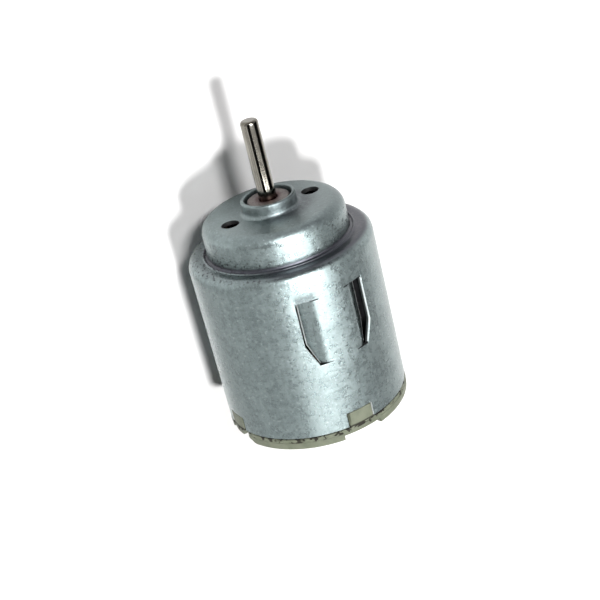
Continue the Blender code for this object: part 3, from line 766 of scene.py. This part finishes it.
def can_section():
    """(outer cap, wall heights, inner cap): the sheet's section. The caps run from the boss's mouth to the wall."""
    corner = (CAN_RADIUS - CAN_CORNER, SHOULDER - CAN_CORNER)
    nose = (NOSE_RADIUS - NOSE_EDGE, -NOSE_EDGE)
    foot = (NOSE_RADIUS + NOSE_FOOT, SHOULDER + NOSE_FOOT)
    mouth = BOSS_RADIUS - BOSS_SHEET
    inner_boss = BOSS_FOOT + BOSS_SHEET
    outer = [
        *arc((mouth + 0.1, BOSS_HEIGHT - 0.1), 0.1, 180, 90, 3),
        *arc((BOSS_RADIUS - 0.2, BOSS_HEIGHT - 0.2), 0.2, 90, 0, 5),
        (BOSS_RADIUS, 0.85),
        *arc((BOSS_RADIUS + BOSS_FOOT, BOSS_FOOT), BOSS_FOOT, 180, 270, 7),
        *arc(nose, NOSE_EDGE, 90, 0, 14),
        (NOSE_RADIUS, -2.0), (NOSE_RADIUS, -2.8),
        *arc(foot, NOSE_FOOT, 180, 255, 6),
        *FOOT_BEAD,
        *arc(corner, CAN_CORNER, 92, 0, 12),
    ]
    inner = [
        (mouth, 1.2),
        *arc((mouth + inner_boss, inner_boss - CAN_SHEET), inner_boss, 180, 270, 7),
        *arc(nose, NOSE_EDGE - CAN_SHEET, 90, 0, 8),
        *arc(foot, NOSE_FOOT + CAN_SHEET, 180, 270, 7),
        *arc(corner, CAN_CORNER - CAN_SHEET, 90, 0, 6),
    ]
    heights = [
        *spread(-5.3, -6.9, 5),
        *spread(-7.1, WINDOW_TOP, 2),
        *spread(WINDOW_TOP - KERF, WINDOW_KNEE, 9),
        *spread(WINDOW_KNEE, WINDOW_FOOT + KERF, 6)[1:],
        *spread(WINDOW_FOOT, -15.6, 2),
        *spread(-16.2, NOTCH_TOP, 9),
        *spread(NOTCH_TOP, CAN_REAR, 4)[1:],
    ]
    return outer, heights, inner


# The columns of the case's mesh at which its features lie, counted round from the top line
HINGE_COLUMN = 11
TAB_COLUMN = HINGE_COLUMN + 17
FREE_COLUMN = TAB_COLUMN + 1
SIDE_NOTCH = (FREE_COLUMN + 33, FREE_COLUMN + 42)
BACK_NOTCH = SIDE_NOTCH[1] + 36


def can_columns(height):
    """Angles of the columns of the case's mesh at a height, in degrees round from the top line."""
    hinge = WINDOW_HINGE
    free = WINDOW_FREE
    if height < WINDOW_KNEE:
        share = min((WINDOW_KNEE - height) / (WINDOW_KNEE - WINDOW_FOOT), 1)
        free += (WINDOW_TAPER - WINDOW_FREE) * share
    below = WINDOW_FOOT - 0.5
    if height < below:
        share = smoothstep((below - height) / (below - NOTCH_TOP - 1))
        hinge += (NOTCH_HALF - WINDOW_HINGE) * share
        free += (WINDOW_FREE - WINDOW_TAPER) * share
    half = spread(0, hinge, HINGE_COLUMN)
    half += spread(hinge, free - KERF_ANGLE, TAB_COLUMN - HINGE_COLUMN)[1:]
    half += spread(free, 26.5, 5)
    start = 26.5
    for end, count in ((90 - NOTCH_HALF, 28), (90 + NOTCH_HALF, 9), (180 - NOTCH_HALF, 36), (180, 5)):
        half += spread(start, end, count)[1:]
        start = end
    return half + [-a for a in half[-2:0:-1]]


def mirrored(column, count):
    return min(column, count - column)


def is_cut(middle, column, count):
    """Whether the cell at a height and after a column is open: a slit round a tab, or a rear notch."""
    nearer = min(mirrored(column, count), mirrored((column + 1) % count, count))
    if HINGE_COLUMN <= nearer < FREE_COLUMN and WINDOW_FOOT < middle < WINDOW_TOP:
        return nearer == TAB_COLUMN or not WINDOW_FOOT + KERF <= middle <= WINDOW_TOP - KERF
    in_notch = nearer < HINGE_COLUMN or SIDE_NOTCH[0] <= nearer < SIDE_NOTCH[1] or nearer >= BACK_NOTCH
    return middle < NOTCH_TOP and in_notch


def sunk(angle, height):
    """How far the sheet sinks just above a window, where the bent tab pulled it in."""
    if not WINDOW_TOP - 0.001 <= height < WINDOW_TOP + 1.3:
        return 0.0
    across = smoothstep((abs(angle) - 6.5) / 5) * smoothstep((25.0 - abs(angle)) / 2.5)
    return TAB_SINK * across * smoothstep(1 - (height - WINDOW_TOP) / 1.2)


def bent(angle, depth):
    """(x, y) of a point of a tab, with the sheet turned in beyond its hinge. Depth is from the outer face."""
    side = 1 if angle > 0 else -1
    middle = CAN_RADIUS - CAN_SHEET / 2
    run = radians(abs(angle) - WINDOW_HINGE) * middle
    x, y = polar(middle, 90 - WINDOW_HINGE)

    def heading(u):
        return radians(WINDOW_HINGE + TAB_BENDS[side] * smoothstep(u / TAB_EASE))

    steps = 24
    for i in range(steps):
        turn = heading(run * (i + 0.5) / steps)
        x += cos(turn) * run / steps
        y -= sin(turn) * run / steps
    out = CAN_SHEET / 2 - depth
    return side * (x + sin(heading(run)) * out), y + cos(heading(run)) * out


def can_shape():
    """The whole sheet. Its cut edges are marked, since shears leave them bright and unplated."""
    outer_cap, heights, inner_cap = can_section()
    shape = bmesh.new()
    count = len(can_columns(0))

    def loop(radius, height, depth=None):
        verts = []
        for column, angle in enumerate(can_columns(height)):
            inside = HINGE_COLUMN < mirrored(column, count) <= TAB_COLUMN
            on_tab = inside and WINDOW_FOOT + KERF - 0.001 <= height <= WINDOW_TOP - KERF + 0.001
            if depth is not None and on_tab:
                x, y = bent(angle, depth)
            else:
                x, y = polar(radius - sunk(angle, height), 90 - angle)
            verts.append(shape.verts.new((x, y, height)))
        return verts

    outer = [loop(CAN_RADIUS, s, 0.0) for s in heights]
    inner = [loop(CAN_RADIUS - CAN_SHEET, s, CAN_SHEET) for s in heights]
    outer_rings = [loop(r, s) for r, s in outer_cap]
    inner_rings = [loop(r, s) for r, s in inner_cap]
    for rings, wall in ((outer_rings, outer), (inner_rings, inner)):
        for first, second in zip(rings, [*rings[1:], wall[0]]):
            bridge(shape, first, second)
    bridge(shape, outer_rings[0], inner_rings[0])

    def cut(row, column):
        if 0 <= row < len(heights) - 1:
            return is_cut((heights[row] + heights[row + 1]) / 2, column % count, count)
        return row >= 0

    for row in range(len(heights) - 1):
        low = row + 1
        for column in range(count):
            if cut(row, column):
                continue
            after = (column + 1) % count
            beside = column + 1 if column < count / 2 else column - 1
            # The outer face's strip beside a tab's free edge takes the painted highlight of the rolled edge
            on_rim = min(mirrored(column, count), mirrored(after, count)) == TAB_COLUMN - 1 and cut(row, beside)
            for wall in (outer, inner):
                face = shape.faces.new((wall[row][column], wall[row][after], wall[low][after], wall[low][column]))
                if wall is outer and on_rim:
                    face.material_index = ROLLED
            edges = [((i, column), (i, after)) for i, beyond in ((row, row - 1), (low, low)) if cut(beyond, column)]
            beyond = ((column, column - 1), (after, column + 1))
            edges += [((row, j), (low, j)) for j, side in beyond if cut(row, side)]
            for (i, j), (k, m) in edges:
                face = shape.faces.new((outer[i][j], outer[k][m], inner[k][m], inner[i][j]))
                face.material_index = SHEARED
    bmesh.ops.delete(shape, geom=[v for v in shape.verts if not v.link_faces], context="VERTS")
    return shape


def add_can():
    holes = []
    for side in (1, -1):
        punch = plate(circle((side * SCREW_PITCH / 2, 0), SCREW_HOLE_RADIUS, 64), [], -1.2, 1.2)
        for face in punch.faces:
            face.material_index = SHEARED
        holes.append(punch)
    add_piece("can", "shell", joined(can_shape(), holes, "DIFFERENCE"), "zinc_steel", 0.035)


# ---- bearings, shaft and washers


def ring_profile(inner, outer, top, foot, edge, inner_edge, steps=3):
    """A ring's section, with rounded outer corners and chamfered inner ones."""
    return [
        (inner, top - inner_edge), (inner + inner_edge, top),
        *arc((outer - edge, top - edge), edge, 90, 0, steps),
        *arc((outer - edge, foot + edge), edge, 0, -90, steps),
        (inner + inner_edge, foot), (inner, foot + inner_edge),
    ]


def add_bearings():
    radius, top, foot = BEARING_RADIUS, bearing_high.z, bearing_low.z
    profile = [
        (BORE, top - 0.12), (BORE + 0.03, top - 0.05), (BORE + 0.08, top - 0.01),
        (BORE + 0.13, top), (radius - 0.3, top),
        *arc((radius - 0.25, top - 0.25), 0.25, 80, 0, 5),
        *arc((radius - 0.2, foot + 0.2), 0.2, 0, -90, 4),
        (BORE + 0.2, foot), (BORE, foot + 0.2),
    ]
    add_piece("front_bearing", "bush", turned(profile, 96), "bearing_bronze")
    profile = ring_profile(BORE, rear_bearing_high.x, rear_bearing_high.z, rear_bearing_low.z, 0.15, 0.15, 4)
    add_piece("rear_bearing", "bush", turned(profile, 96), "bearing_bronze")


def add_shaft():
    radius, edge = SHAFT_RADIUS, SHAFT_EDGE
    flat = radius - edge - 0.05
    profile = [
        (0, SHAFT_TIP), (0.3, SHAFT_TIP), (flat, SHAFT_TIP - 0.01),
        *arc((radius - edge, SHAFT_TIP - edge), edge, 80, 0, 6),
        *[(radius, s) for s in (SHAFT_TIP - 1.0, 1.5, -8.0, -18.0, SHAFT_REAR + 1.0)],
        *arc((radius - edge, SHAFT_REAR + edge), edge, 0, -80, 6),
        (flat, SHAFT_REAR + 0.01), (0.3, SHAFT_REAR), (0, SHAFT_REAR),
    ]
    add_piece("shaft", "ground", turned(profile, 96), "shaft_steel", body="rotor")


def add_washers():
    for name, edge in (("front_spacer", 0.2), ("front_thrust_washer", 0.06), ("rear_thrust_washer", 0.05)):
        low, high = node_span(name)
        profile = ring_profile(BORE, high.x, high.z, low.z, edge, edge)
        add_piece(name, "ring", turned(profile, 72), "nylon", body="rotor")


# ---- end bell


def tongue(centre, half, low, high, corner):
    """Columns of a lug whose rear corners are rounded."""
    columns = []
    for offset in [-half, *[2.0 * i for i in range(-int(half / 2), int(half / 2) + 1)], half]:
        from_side = min(radians(half - abs(offset)) * CAN_RADIUS, corner)
        lift = corner - sqrt(corner**2 - (corner - from_side) ** 2)
        columns.append((centre + offset, low + lift, high))
    return columns


def cleaned_bell(mesh, distance):
    """The end bell with near corners merged and large faces split, its outer edges marked for their bevel."""
    shape = bmesh.new()
    shape.from_mesh(mesh)
    bmesh.ops.remove_doubles(shape, verts=shape.verts, dist=distance)
    bmesh.ops.dissolve_degenerate(shape, edges=shape.edges, dist=distance / 2)
    large = [f for f in shape.faces if len(f.verts) > 12]
    bmesh.ops.triangulate(shape, faces=large, ngon_method="BEAUTY")
    weights = shape.edges.layers.float.new("bevel_weight_edge")
    for edge in shape.edges:
        middle = (edge.verts[0].co + edge.verts[1].co) / 2
        at_rim = middle.to_2d().length > SPIGOT_RADIUS - 0.5 and middle.z < FLANGE_FRONT + 3
        if at_rim and len(edge.link_faces) == 2 and edge.calc_face_angle() > radians(40):
            edge[weights] = 1.0
    shape.to_mesh(mesh)
    shape.free()
    return mesh


def add_end_bell():
    inner_hub = rear_bearing_high.x + 2 * RUNNING_GAP
    spigot_inner = SPIGOT_RADIUS - SPIGOT_WALL
    disc_radius = SPIGOT_RADIUS + 0.06
    edge = BELL_EDGE
    profile = [
        (spigot_inner, SPIGOT_FRONT), (SPIGOT_RADIUS - 0.15, SPIGOT_FRONT),
        (SPIGOT_RADIUS, SPIGOT_FRONT - 0.3), (SPIGOT_RADIUS, FLANGE_FRONT + 0.1),
        (disc_radius, FLANGE_FRONT),
        *arc((disc_radius - edge, BELL_REAR + edge), edge, 0, -90, 4),
        (HUB_RADIUS + 0.5, BELL_REAR),
        *arc((HUB_RADIUS + edge, BELL_REAR - edge), edge, 90, 180, 4),
        *arc((HUB_RADIUS - edge, HUB_REAR + edge), edge, 0, -90, 4),
        (inner_hub + HUB_EDGE, HUB_REAR), (inner_hub, HUB_REAR + HUB_EDGE),
        (inner_hub, HUB_FRONT - HUB_EDGE), (inner_hub + HUB_EDGE, HUB_FRONT),
        (HUB_RADIUS - 0.1, HUB_FRONT), (HUB_RADIUS, BELL_FLOOR), (spigot_inner, BELL_FLOOR),
    ]
    shapes = []
    for quarter in range(4):
        centre = 90 * quarter
        at_side = quarter % 2 == 1
        if at_side:
            lug = tongue(centre, SIDE_LUG, BELL_REAR, NOTCH_TOP - 0.08, 0.8)
        else:
            lug = tongue(centre, TOP_LUG, FLANGE_FRONT - 0.2, NOTCH_TOP - 0.08, 0.01)
        shapes.append(rolled(lug, SPIGOT_RADIUS - 0.2, CAN_RADIUS - 0.02))
        near, far = (SIDE_GAP, 90 - TOP_GAP) if at_side else (TOP_GAP, 90 - SIDE_GAP)
        foot = []
        for angle in spread(near, far, 60):
            from_side = radians(angle - near if at_side else far - angle) * FLANGE_RADIUS
            lift = 0.6 * (1 - smoothstep(from_side / 1.3)) ** 1.6
            foot.append((centre + angle, FOOT_REAR + lift, BELL_REAR + 0.3))
        shapes.append(rolled(foot, FLANGE_RADIUS - FOOT_WIDTH, FLANGE_RADIUS))
    for start in (SIDE_GAP - 90, SIDE_GAP + 90):
        flange = [(start + a, BELL_REAR + 0.02, FLANGE_FRONT) for a in spread(0, 180 - 2 * SIDE_GAP, 80)]
        shapes.append(rolled(flange, SPIGOT_RADIUS - 0.3, FLANGE_RADIUS - 0.02))
    mesh = joined(turned(profile, 160, 0.6), shapes, "UNION")
    cuts = []
    for side in (1, -1):
        (low_x, high_x), (low_y, high_y) = sorted(side * x for x in TERMINAL_SLOT[0]), TERMINAL_SLOT[1]
        cuts.append(box_shape((low_x, low_y, BELL_REAR - 1), (high_x, high_y, BELL_FLOOR + 1)))
    for centre in arc((0, 0), EJECTOR_RING, 30, 270, 2):
        cuts.append(plate(circle(centre, EJECTOR_RADIUS, 40), [], BELL_REAR - 1, BELL_REAR + EJECTOR_DEPTH))
    mesh = cleaned_bell(joined(mesh, cuts, "DIFFERENCE"), 0.01)
    bell = add_piece("end_bell", "moulding", mesh, "ivory_plastic", 0.06)
    bell.modifiers["edges"].limit_method = "WEIGHT"


# ---- magnets and clip


def add_magnets():
    for name, centre in (("magnet_right", 90), ("magnet_left", 270)):
        low, high = node_span(name)
        columns = [(centre + a, low.z, high.z) for a in spread(-MAGNET_HALF, MAGNET_HALF, 60)]
        add_piece(name, "arc", rolled(columns, MAGNET_INNER, MAGNET_OUTER), "ferrite", 0.22, segments=3)


def add_clip():
    """The spring between the magnets: a bowed strip whose ends are bent inwards along them."""
    low, high = node_span("magnet_clip")
    half = CLIP_HALF - degrees(CLIP_SHEET / 2 / CLIP_RADIUS)
    out = Vector(polar(1, half - 90))
    along = Vector((-out.y, out.x))
    leg_end = out * (MAGNET_OUTER - CLIP_LEG)
    corner = out * (CLIP_RADIUS - CLIP_BEND)
    leg = [leg_end - along * 0.12, leg_end + out * 0.25, corner]
    leg += [corner + along * a + out * b for a, b in arc((-CLIP_BEND, 0), CLIP_BEND, 0, 90, 6)[1:-1]]
    sweep = half - degrees(CLIP_BEND / CLIP_RADIUS) - 0.3
    bow = arc((0, 0), CLIP_RADIUS, 270 - sweep, 270 + sweep, 30)
    line = [*[(-x, y) for x, y in leg], *bow, *leg[::-1]]
    add_piece("magnet_clip", "spring", ribbon(line, CLIP_SHEET, low.z, high.z), "spring_steel", 0.05)


# ---- rotor


def pole_outline(half_width, shoe):
    """The core's outline, or the insulator's, which has no shoes."""
    fillet = POLE_FILLET
    if shoe:
        neck = degrees(asin((half_width + fillet) / SHOE_INNER))
        corner = (polar(SHOE_INNER, neck)[0] - fillet, half_width + fillet)
        upper = [
            polar(CORE_RADIUS - SHOE_EDGE, SHOE_HALF),
            polar(SHOE_INNER + SHOE_EDGE, SHOE_HALF - 0.4),
            *arc((0, 0), SHOE_INNER, SHOE_HALF - 2.0, neck + 3, 10),
            *arc(corner, fillet, 355, 270, 4),
        ]
        middle = arc((0, 0), CORE_RADIUS, 1 - SHOE_HALF, SHOE_HALF - 1, 36)
    else:
        upper = arc((INSULATOR_REACH - fillet, half_width - fillet), fillet, 0, 90, 4)
        middle = []
    end = [*[(x, -y) for x, y in upper[::-1]], *middle, *upper]
    hub_angle = degrees(asin(half_width / CORE_HUB))
    end += arc((0, 0), CORE_HUB, hub_angle, 360 / POLES - hub_angle, 6)
    turns = [Matrix.Rotation(2 * pi * pole / POLES, 2) for pole in range(POLES)]
    return [tuple(turn @ Vector(point)) for turn in turns for point in end]


def add_core():
    bore = circle((0, 0), BORE, 48)
    for i in range(LAMINATIONS):
        top = CORE_FRONT - i * LAMINATION_PITCH
        sheet = plate(pole_outline(NECK_HALF, True), [bore], top - LAMINATION_SHEET, top)
        add_piece(f"lamination_{i + 1:02d}", "sheet", sheet, "core_steel", 0.04, "rotor")
    front = CORE_FRONT + LAYER_GAP
    rear = CORE_FRONT - CORE_LENGTH - LAYER_GAP - INSULATOR_SHEET
    for name, low in (("front_insulator", front), ("rear_insulator", rear)):
        sheet = plate(pole_outline(INSULATOR_HALF, False), [bore], low, low + INSULATOR_SHEET)
        add_piece(name, "sheet", sheet, "green_insulator", 0.08, "rotor")


def coil_path():
    """The wire's line: layer on layer of turns round a pole that lies along X."""
    near = COIL_NEAR + WIRE_RADIUS
    far = COIL_FAR - WIRE_RADIUS
    points = []
    for layer in range(COIL_LAYERS):
        out = WIRE_RADIUS + layer * LAYER_PITCH
        half_width = COIL_INNER_HALF + out
        half_height = CORE_LENGTH / 2 + INSULATOR_SHEET + 2 * LAYER_GAP + out
        corner = 0.12 + out * 0.5
        loop = []
        for index, (y, z) in enumerate(((1, 1), (-1, 1), (-1, -1), (1, -1))):
            centre = (y * (half_width - corner), z * (half_height - corner))
            loop += arc(centre, corner, 90 * index, 90 * (index + 1), 4)
        shares = spread(0, 1, COIL_TURNS * len(loop) - 1)
        for step, share in enumerate(shares[::-1] if layer % 2 else shares):
            y, z = loop[step % len(loop)]
            bow = 0.05 * sin(pi * share) * layer / COIL_LAYERS
            points.append((near + (far - near) * share, y * (1 + bow / 3), CORE_MIDDLE + z * (1 + bow / 8)))
    return points


def add_coils():
    """Each coil's wire runs back to a tang of the commutator at both ends."""
    path = coil_path()
    tang = Vector((*polar(TANG_HOOK, 180 / POLES), TANG_WIRE))
    rear = CORE_MIDDLE - CORE_LENGTH / 2 - INSULATOR_SHEET - 2 * LAYER_GAP
    ending = [Vector(path[-1]) + Vector((0.05, 0.1, -0.5)), (4.6, 2.4, rear - 1.95), (3.4, 3.0, rear - 2.0)]
    ending += [(2.3, 3.35, -18.55), tang + Vector((0.25, 0.0, 0.22)), tang, tang - Vector((0.3, -0.17, 0))]
    start = [(3.2, -1.2, rear - 1.65), (3.0, -2.2, rear - 1.85), (2.6, -3.0, rear - 2.0), (2.1, -3.4, -18.55)]
    start += [(tang.x + 0.2, -tang.y, -18.85), (tang.x, -tang.y, tang.z), (tang.x - 0.3, -tang.y - 0.17, tang.z)]
    for i in range(POLES):
        shape = bmesh.new()
        wire(shape, [*path, *ending])
        wire(shape, start)
        moved(shape, turn_about_shaft(360 * i / POLES))
        add_piece(f"coil_{i + 1}", "winding", shape, "enamelled_copper", body="rotor")


def add_commutator():
    front, rear = FLANGE_SPAN
    flange = ring_profile(BORE, COMMUTATOR_FLANGE, front, rear, COMMUTATOR_EDGE, 0.1)
    sleeve = ring_profile(BORE, COMMUTATOR_SLEEVE, rear, COMMUTATOR_REAR, 0.1, 0.1)
    half = len(flange) // 2
    profile = [*flange[:-2], (COMMUTATOR_SLEEVE + 0.15, rear), (COMMUTATOR_SLEEVE, rear - 0.12), *sleeve[half:]]
    add_piece("commutator_base", "moulding", turned(profile, 96), "phenolic", body="rotor")

    middle = SEGMENT_FRONT - TANG_SHEET / 2
    hook = [(r, middle) for r in (2.15, 2.6, 3.2, TANG_HOOK - 0.05)]
    hook += arc((TANG_HOOK, middle + TANG_BEND), TANG_BEND, 275, 440, 9)
    hook = [(r, min(s, middle + 2 * TANG_BEND)) for r, s in hook]
    swap = Matrix(((1, 0, 0, 0), (0, 0, 1, 0), (0, 1, 0, 0), (0, 0, 0, 1)))
    columns = [(90 + a, SEGMENT_REAR, SEGMENT_FRONT) for a in spread(-SEGMENT_HALF, SEGMENT_HALF, 44)]
    for i in range(POLES):
        tang = moved(ribbon(hook, TANG_SHEET * 0.8, -TANG_HALF, TANG_HALF), swap)
        mesh = joined(rolled(columns, SEGMENT_INNER, SEGMENT_OUTER), [tang], "UNION")
        mesh.transform(turn_about_shaft(360 * (i + 0.5) / POLES))
        add_piece(f"commutator_segment_{i + 1}", "bar", mesh, "copper", 0.04, "rotor")

    low, high = node_span("commutator_collar")
    profile = ring_profile(SEGMENT_OUTER + RUNNING_GAP, high.x, high.z, low.z, COMMUTATOR_EDGE, 0.04)
    add_piece("commutator_collar", "ring", turned(profile, 96), "phenolic", body="rotor")


# ---- brush gear


def rivet_shape(side):
    """A rivet through the arm at its pivot, lying across the arm."""
    profile = [(0, 0.32), (0.2, 0.31), (0.38, 0.24), (0.46, 0.12), (0.47, 0.08), (0.3, 0.02)]
    profile += [(0.3, -0.14), (0.47, -0.2), (0.46, -0.26), (0.36, -0.34), (0.2, -0.38), (0, -0.39)]
    turn = Matrix.Rotation(radians(90 * side), 4, "Y")
    return moved(turned(profile, 32), Matrix.Translation((side * ARM_OFFSET, ARM_PIVOT, ARM_MIDDLE)) @ turn)


def arm_path(side):
    path = [(ARM_OFFSET, y) for y in (ARM_ROOT, -5.6, -4.6, -4.3)]
    path += [(ARM_OFFSET + 0.06 * sin(pi * t), -4.3 + 3.0 * t) for t in spread(0.1, 0.9, 10)]
    path += [(ARM_OFFSET, -1.3), (4.17, -1.05), (4.15, -0.8), (4.15, 0), (4.15, 0.75)]
    path += [(4.13, 0.88), (4.06, 0.97), (3.95, 1.0), (3.8, 1.0)]
    return [(side * x, y) for x, y in path]


def terminal_outline(low, high):
    corner = TERMINAL_CORNER
    near, far = low.y + 0.25, high.y - 0.25
    return [
        *arc((high.y - corner, low.z + corner), corner, 0, -90, 8),
        *arc((low.y + corner, low.z + corner), corner, 270, 180, 8),
        (low.y, TERMINAL_SHOULDER), (near, TERMINAL_SHOULDER + 0.2), (near, high.z - 0.2),
        (near + 0.2, high.z), (far - 0.2, high.z), (far, high.z - 0.2),
        (far, TERMINAL_SHOULDER + 0.2), (high.y, TERMINAL_SHOULDER),
    ]


def add_brush_gear():
    across = Matrix(((0, 0, 1, 0), (1, 0, 0, 0), (0, 1, 0, 0), (0, 0, 0, 1)))
    slot_near, slot_far, slot_radius = ARM_SLOT
    slot = arc((slot_near, ARM_MIDDLE), slot_radius, 90, 270, 8) + arc((slot_far, ARM_MIDDLE), slot_radius, 270, 450, 8)
    reach = degrees(asin((BRUSH_HALF - 0.02) / BRUSH_CURVE))
    block = [*arc((0, 0), BRUSH_CURVE, -reach, reach, 16), (BRUSH_BACK, BRUSH_HALF), (BRUSH_BACK, -BRUSH_HALF)]
    for side, word in ((1, "right"), (-1, "left")):
        body = f"brush_assembly_{word}"
        arm = ribbon(arm_path(side), ARM_SHEET, *ARM_SPAN)
        arm = joined(arm, [moved(plate(slot, [], -6, 6), across)], "DIFFERENCE")
        arm = joined(arm, [rivet_shape(side)], "UNION")
        add_piece(f"brush_arm_{word}", "spring", arm, "phosphor_bronze", 0.03, body)
        brush = plate([(side * x, y) for x, y in block], [], *BRUSH_SPAN)
        add_piece(f"brush_{word}", "block", brush, "carbon", 0.07, body)

        low, high = node_span(f"terminal_{word}")
        hole = circle(((low.y + high.y) / 2, TERMINAL_HOLE[0]), TERMINAL_HOLE[1], 40)
        near, far = sorted((side * TERMINAL_NEAR, side * TERMINAL_FAR))
        tag = moved(plate(terminal_outline(low, high), [hole], near, far), across)
        add_piece(f"terminal_{word}", "tag", tag, "brass", 0.06)


# ---- stage

FLOOR_GAP = 0.02
FLOOR_HALF = 1.5  # in metres
CAMERA_AIM = Vector((-0.60, 11.90, 0.24))
CAMERA_DISTANCE = 148.63
CAMERA_LENS = 78.4
CAMERA_TURN = 22.9  # from straight up towards +X, in degrees
CAMERA_TILT = 26.29  # towards the shaft's end
CAMERA_ROLL = -14.19
STUDIO_GLOSS = 0.8  # how bright the room is in the metal's reflections
STUDIO_FILL = 0.07  # how much light it gives dull surfaces
STUDIO_BACKDROP = 1.0
SHEEN_AIM = Vector((0, 12, 0))
SHEEN_DISTANCE = 205
STRIP_HEIGHT = 60.0
STRIP_SLANT = radians(24)
FLAG_RADIUS = 3.0


def add_camera():
    turn, tilt = radians(CAMERA_TURN), radians(CAMERA_TILT)
    back = Vector((sin(turn) * cos(tilt), -sin(tilt), cos(turn) * cos(tilt)))
    up = Vector((0, -1, 0))
    up = (up - back * up.dot(back)).normalized()
    up = Matrix.Rotation(radians(CAMERA_ROLL), 3, back) @ up
    camera = linked("camera", bpy.data.cameras.new("camera"))
    camera.data.lens = CAMERA_LENS
    camera.data.sensor_width = 36
    camera.data.clip_start = 0.005
    camera.data.clip_end = 20
    matrix = Matrix((up.cross(back), up, back)).transposed().to_4x4()
    matrix.translation = (CAMERA_AIM + back * CAMERA_DISTANCE) * MM
    camera.matrix_world = matrix
    bpy.context.scene.camera = camera


def add_light(name, kind, power, towards, **settings):
    """A soft light that shines from a direction."""
    light = bpy.data.lights.new(name, kind)
    light.energy = power
    for key, value in settings.items():
        setattr(light, key, value)
    obj = linked(name, light)
    obj.rotation_euler = Vector(towards).normalized().to_track_quat("Z", "Y").to_euler()
    return obj


def add_sun(name, towards, angle, strength):
    """A far, soft light that lights the floor evenly. The bright metal doesn't mirror it."""
    sun = add_light(name, "SUN", strength, towards, angle=radians(angle), color=(1.0, 0.99, 0.985))
    sun.visible_glossy = False


def add_sheen(name, towards, length, width, power, place=None, slant=0.0):
    """A soft oblong light that only reflections show: far off, or at a place close above the case."""
    size = {"shape": "RECTANGLE", "size": length * MM, "size_y": width * MM}
    sheen = add_light(name, "AREA", power, towards, **size)
    sheen.location = Vector(place or SHEEN_AIM + Vector(towards).normalized() * SHEEN_DISTANCE) * MM
    sheen.rotation_euler.z += slant
    sheen.visible_diffuse = False


def painted(name, shape, colour, roughness, specular, place=Matrix()):
    """A plain object of the stage."""
    mesh = mesh_of(shape)
    mesh.transform(place)
    finish = Finish(name)
    finish.colour = colour
    give_finish(mesh, [finish.done(roughness, Specular_IOR_Level=specular)])
    obj = linked(name, mesh)
    return obj


def add_flag(name, shape, colour):
    """A dark card, seen only in reflections."""
    flag = painted(name, shape, colour, 1.0, 0.0, LAY_DOWN)
    for seen_by in ("camera", "diffuse", "shadow", "transmission"):
        setattr(flag, f"visible_{seen_by}", False)


def add_floor():
    shape = bmesh.new()
    corners = ((-1, -1), (1, -1), (1, 1), (-1, 1))
    shape.faces.new([shape.verts.new((x * FLOOR_HALF, y * FLOOR_HALF, 0)) for x, y in corners])
    floor = painted("floor", shape, (0.9, 0.9, 0.9), 0.9, 0.1)
    floor.location = (0, 0, min(cad_low.z, 0.0) - FLOOR_GAP * MM)


def add_world():
    world = bpy.data.worlds.new("studio")
    bpy.context.scene.world = world
    world.use_nodes = True
    tree = world.node_tree
    background = tree.nodes["Background"]
    background.inputs["Color"].default_value = (1.0, 0.985, 0.985, 1)
    path = tree.nodes.new("ShaderNodeLightPath")
    level = background.inputs["Strength"]
    for ray, strength in (("Is Camera Ray", STUDIO_BACKDROP), ("Is Diffuse Ray", STUDIO_FILL)):
        choice = tree.nodes.new("ShaderNodeMix")
        choice.inputs["B"].default_value = strength
        tree.links.new(path.outputs[ray], choice.inputs["Factor"])
        tree.links.new(choice.outputs["Result"], level)
        level = choice.inputs["A"]
    level.default_value = STUDIO_GLOSS


def add_stage():
    add_camera()
    add_floor()
    add_world()
    add_sun("key_high", (0.15, 0.22, 0.965), 7.5, 3.35)
    add_sun("key_front", (0.04, -0.45, 0.89), 12.0, 1.9)
    add_sheen("sheen_high", (0.06, -0.37, 0.93), 100, 205, 1.05)
    add_sheen("sheen_left", (0.78, 0.44, 0.45), 150, 95, 0.0155)
    # The close ones follow the slant that their reflection takes down the case
    add_sheen("sheen_upper", (0, 0, 1), 34, 8, 0.0026, (-9, 38.5, STRIP_HEIGHT), STRIP_SLANT)
    add_sheen("sheen_lower", (0, 0, 1), 54, 20, 0.013, (22, 54, STRIP_HEIGHT), STRIP_SLANT)
    add_sheen("sheen_nose", (0, 0, 1), 60, 7, 0.023, (6, 25, STRIP_HEIGHT))
    # Two small ones stand beside the shaft, between these angles from the top line
    for name, start, end in (("flag_left", 26, 54), ("flag_right", -62, -21)):
        columns = [(a, 0.9, SHAFT_TIP + 0.6) for a in spread(start, end, 8)]
        add_flag(name, rolled(columns, FLAG_RADIUS, FLAG_RADIUS + 0.05), (0.01, 0.01, 0.01))
    add_flag("flag_front", box_shape((-170, 0, 150), (60, 120, 151)), (0.16, 0.14, 0.165))
    ground = cad_low.z / MM
    add_flag("flag_low", box_shape((14, ground, -95), (150, ground + 0.3, -2)), (0.58, 0.58, 0.58))
    bpy.context.scene.view_settings.view_transform = "Standard"


add_can()
add_bearings()
add_shaft()
add_washers()
add_end_bell()
add_magnets()
add_clip()
add_core()
add_coils()
add_commutator()
add_brush_gear()
add_stage()
